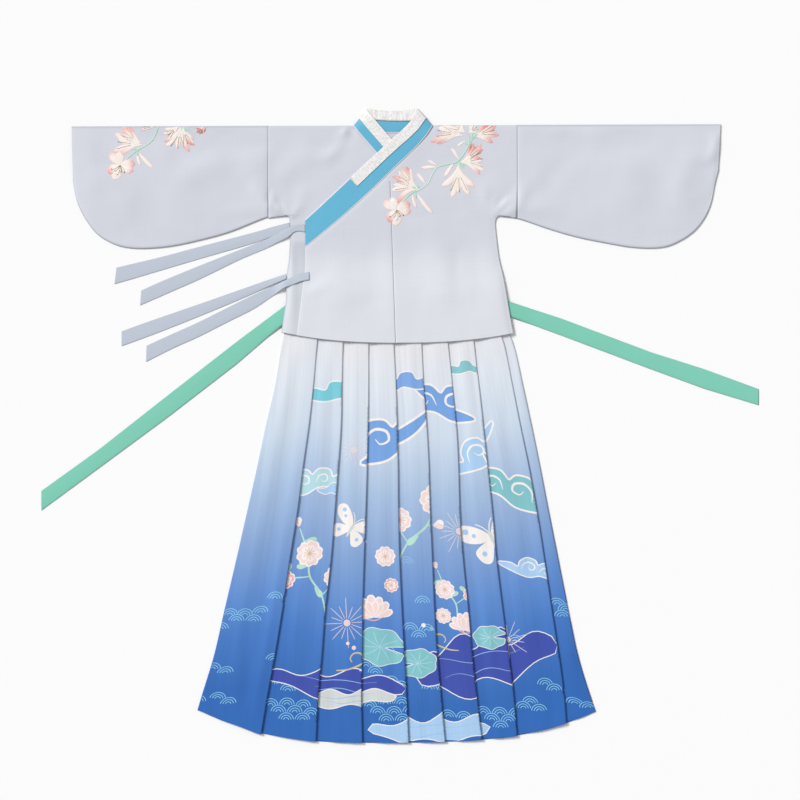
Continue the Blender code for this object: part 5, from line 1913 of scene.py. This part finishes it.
for k in range(7):
    y = mix(BAND_LOW, BAND_TOP, k / 6)
    ends = [(BAND_ROUND * cos(a), BAND_ROUND * sin(a)) for a in (pi / 4, 0, -pi / 4)]
    ring = [(mix(BAND_LEFT, BAND_RIGHT, c / 40), y, SKIRT_HIGH) for c in range(41)]
    ring += [(BAND_RIGHT + out, y, BAND_MIDDLE + up) for out, up in ends]
    ring += [(mix(BAND_RIGHT, BAND_LEFT, c / 20), y, SKIRT_BACK) for c in range(21)]
    ring += [(BAND_LEFT - out, y, BAND_MIDDLE - up) for out, up in ends]
    waist_rows.append(ring)
    waist_flat.append([(c * 15.0, y) for c in range(len(ring) + 1)])
waistband = cloth_piece("waistband", waist_rows, waist_flat, waist_cloth, ring=True)
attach(waistband, "root")
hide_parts("skirt_waistband")
for (name, table), flat in zip(WAIST_TIES.items(), ((0.04, 0.7), (0.035, 0.62))):
    piece = tie(name + "_tape", table, 8.0, waist_cloth, thickness=0.9, roll=0.7, straight=True)
    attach(piece, "root")
    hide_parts(name)


# Surface and light: a plain white table under a broad soft light from the upper left, with a pale
# sky all round, seen from straight above.
bpy.ops.mesh.primitive_plane_add(size=60.0, location=(0, 0, -0.0002))
floor = bpy.context.object
floor.name = "floor"
table_top = bpy.data.materials.new("white table")
table_top.use_nodes = True
put_in(table_top.node_tree.nodes["Principled BSDF"], {"Base Color": (0.9, 0.9, 0.9, 1), "Roughness": 0.9})
floor.data.materials.append(table_top)
floor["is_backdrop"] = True

world = bpy.data.worlds.new("studio")
world.use_nodes = True
put_in(world.node_tree.nodes["Background"], {"Color": (1, 1, 1, 1), "Strength": 0.5})
bpy.context.scene.world = world

softbox = bpy.data.lights.new("far softbox", "SUN")
softbox.energy = 3.1
softbox.angle = radians(20)
lamp = placed("far softbox", softbox)
lamp.rotation_euler = Vector((4.6, -3.6, -4.2)).to_track_quat("-Z", "Y").to_euler()
bpy.context.scene.view_settings.view_transform = "Standard"

camera_data = bpy.data.cameras.new("camera")
camera_data.lens = 85
camera_data.sensor_width = 36
camera = placed("camera", camera_data)
camera.location = (0, 0.0598, 4.349)
bpy.context.scene.camera = camera

size_at_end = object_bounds()


def plain(value):
    """The bounds as plain lists of numbers."""
    if isinstance(value, dict):
        return {str(k): plain(v) for k, v in value.items()}
    if isinstance(value, (list, tuple)) or hasattr(value, "to_tuple"):
        return [plain(v) for v in value]
    return float(value)


{"at_start": plain(size_at_start), "at_end": plain(size_at_end)}
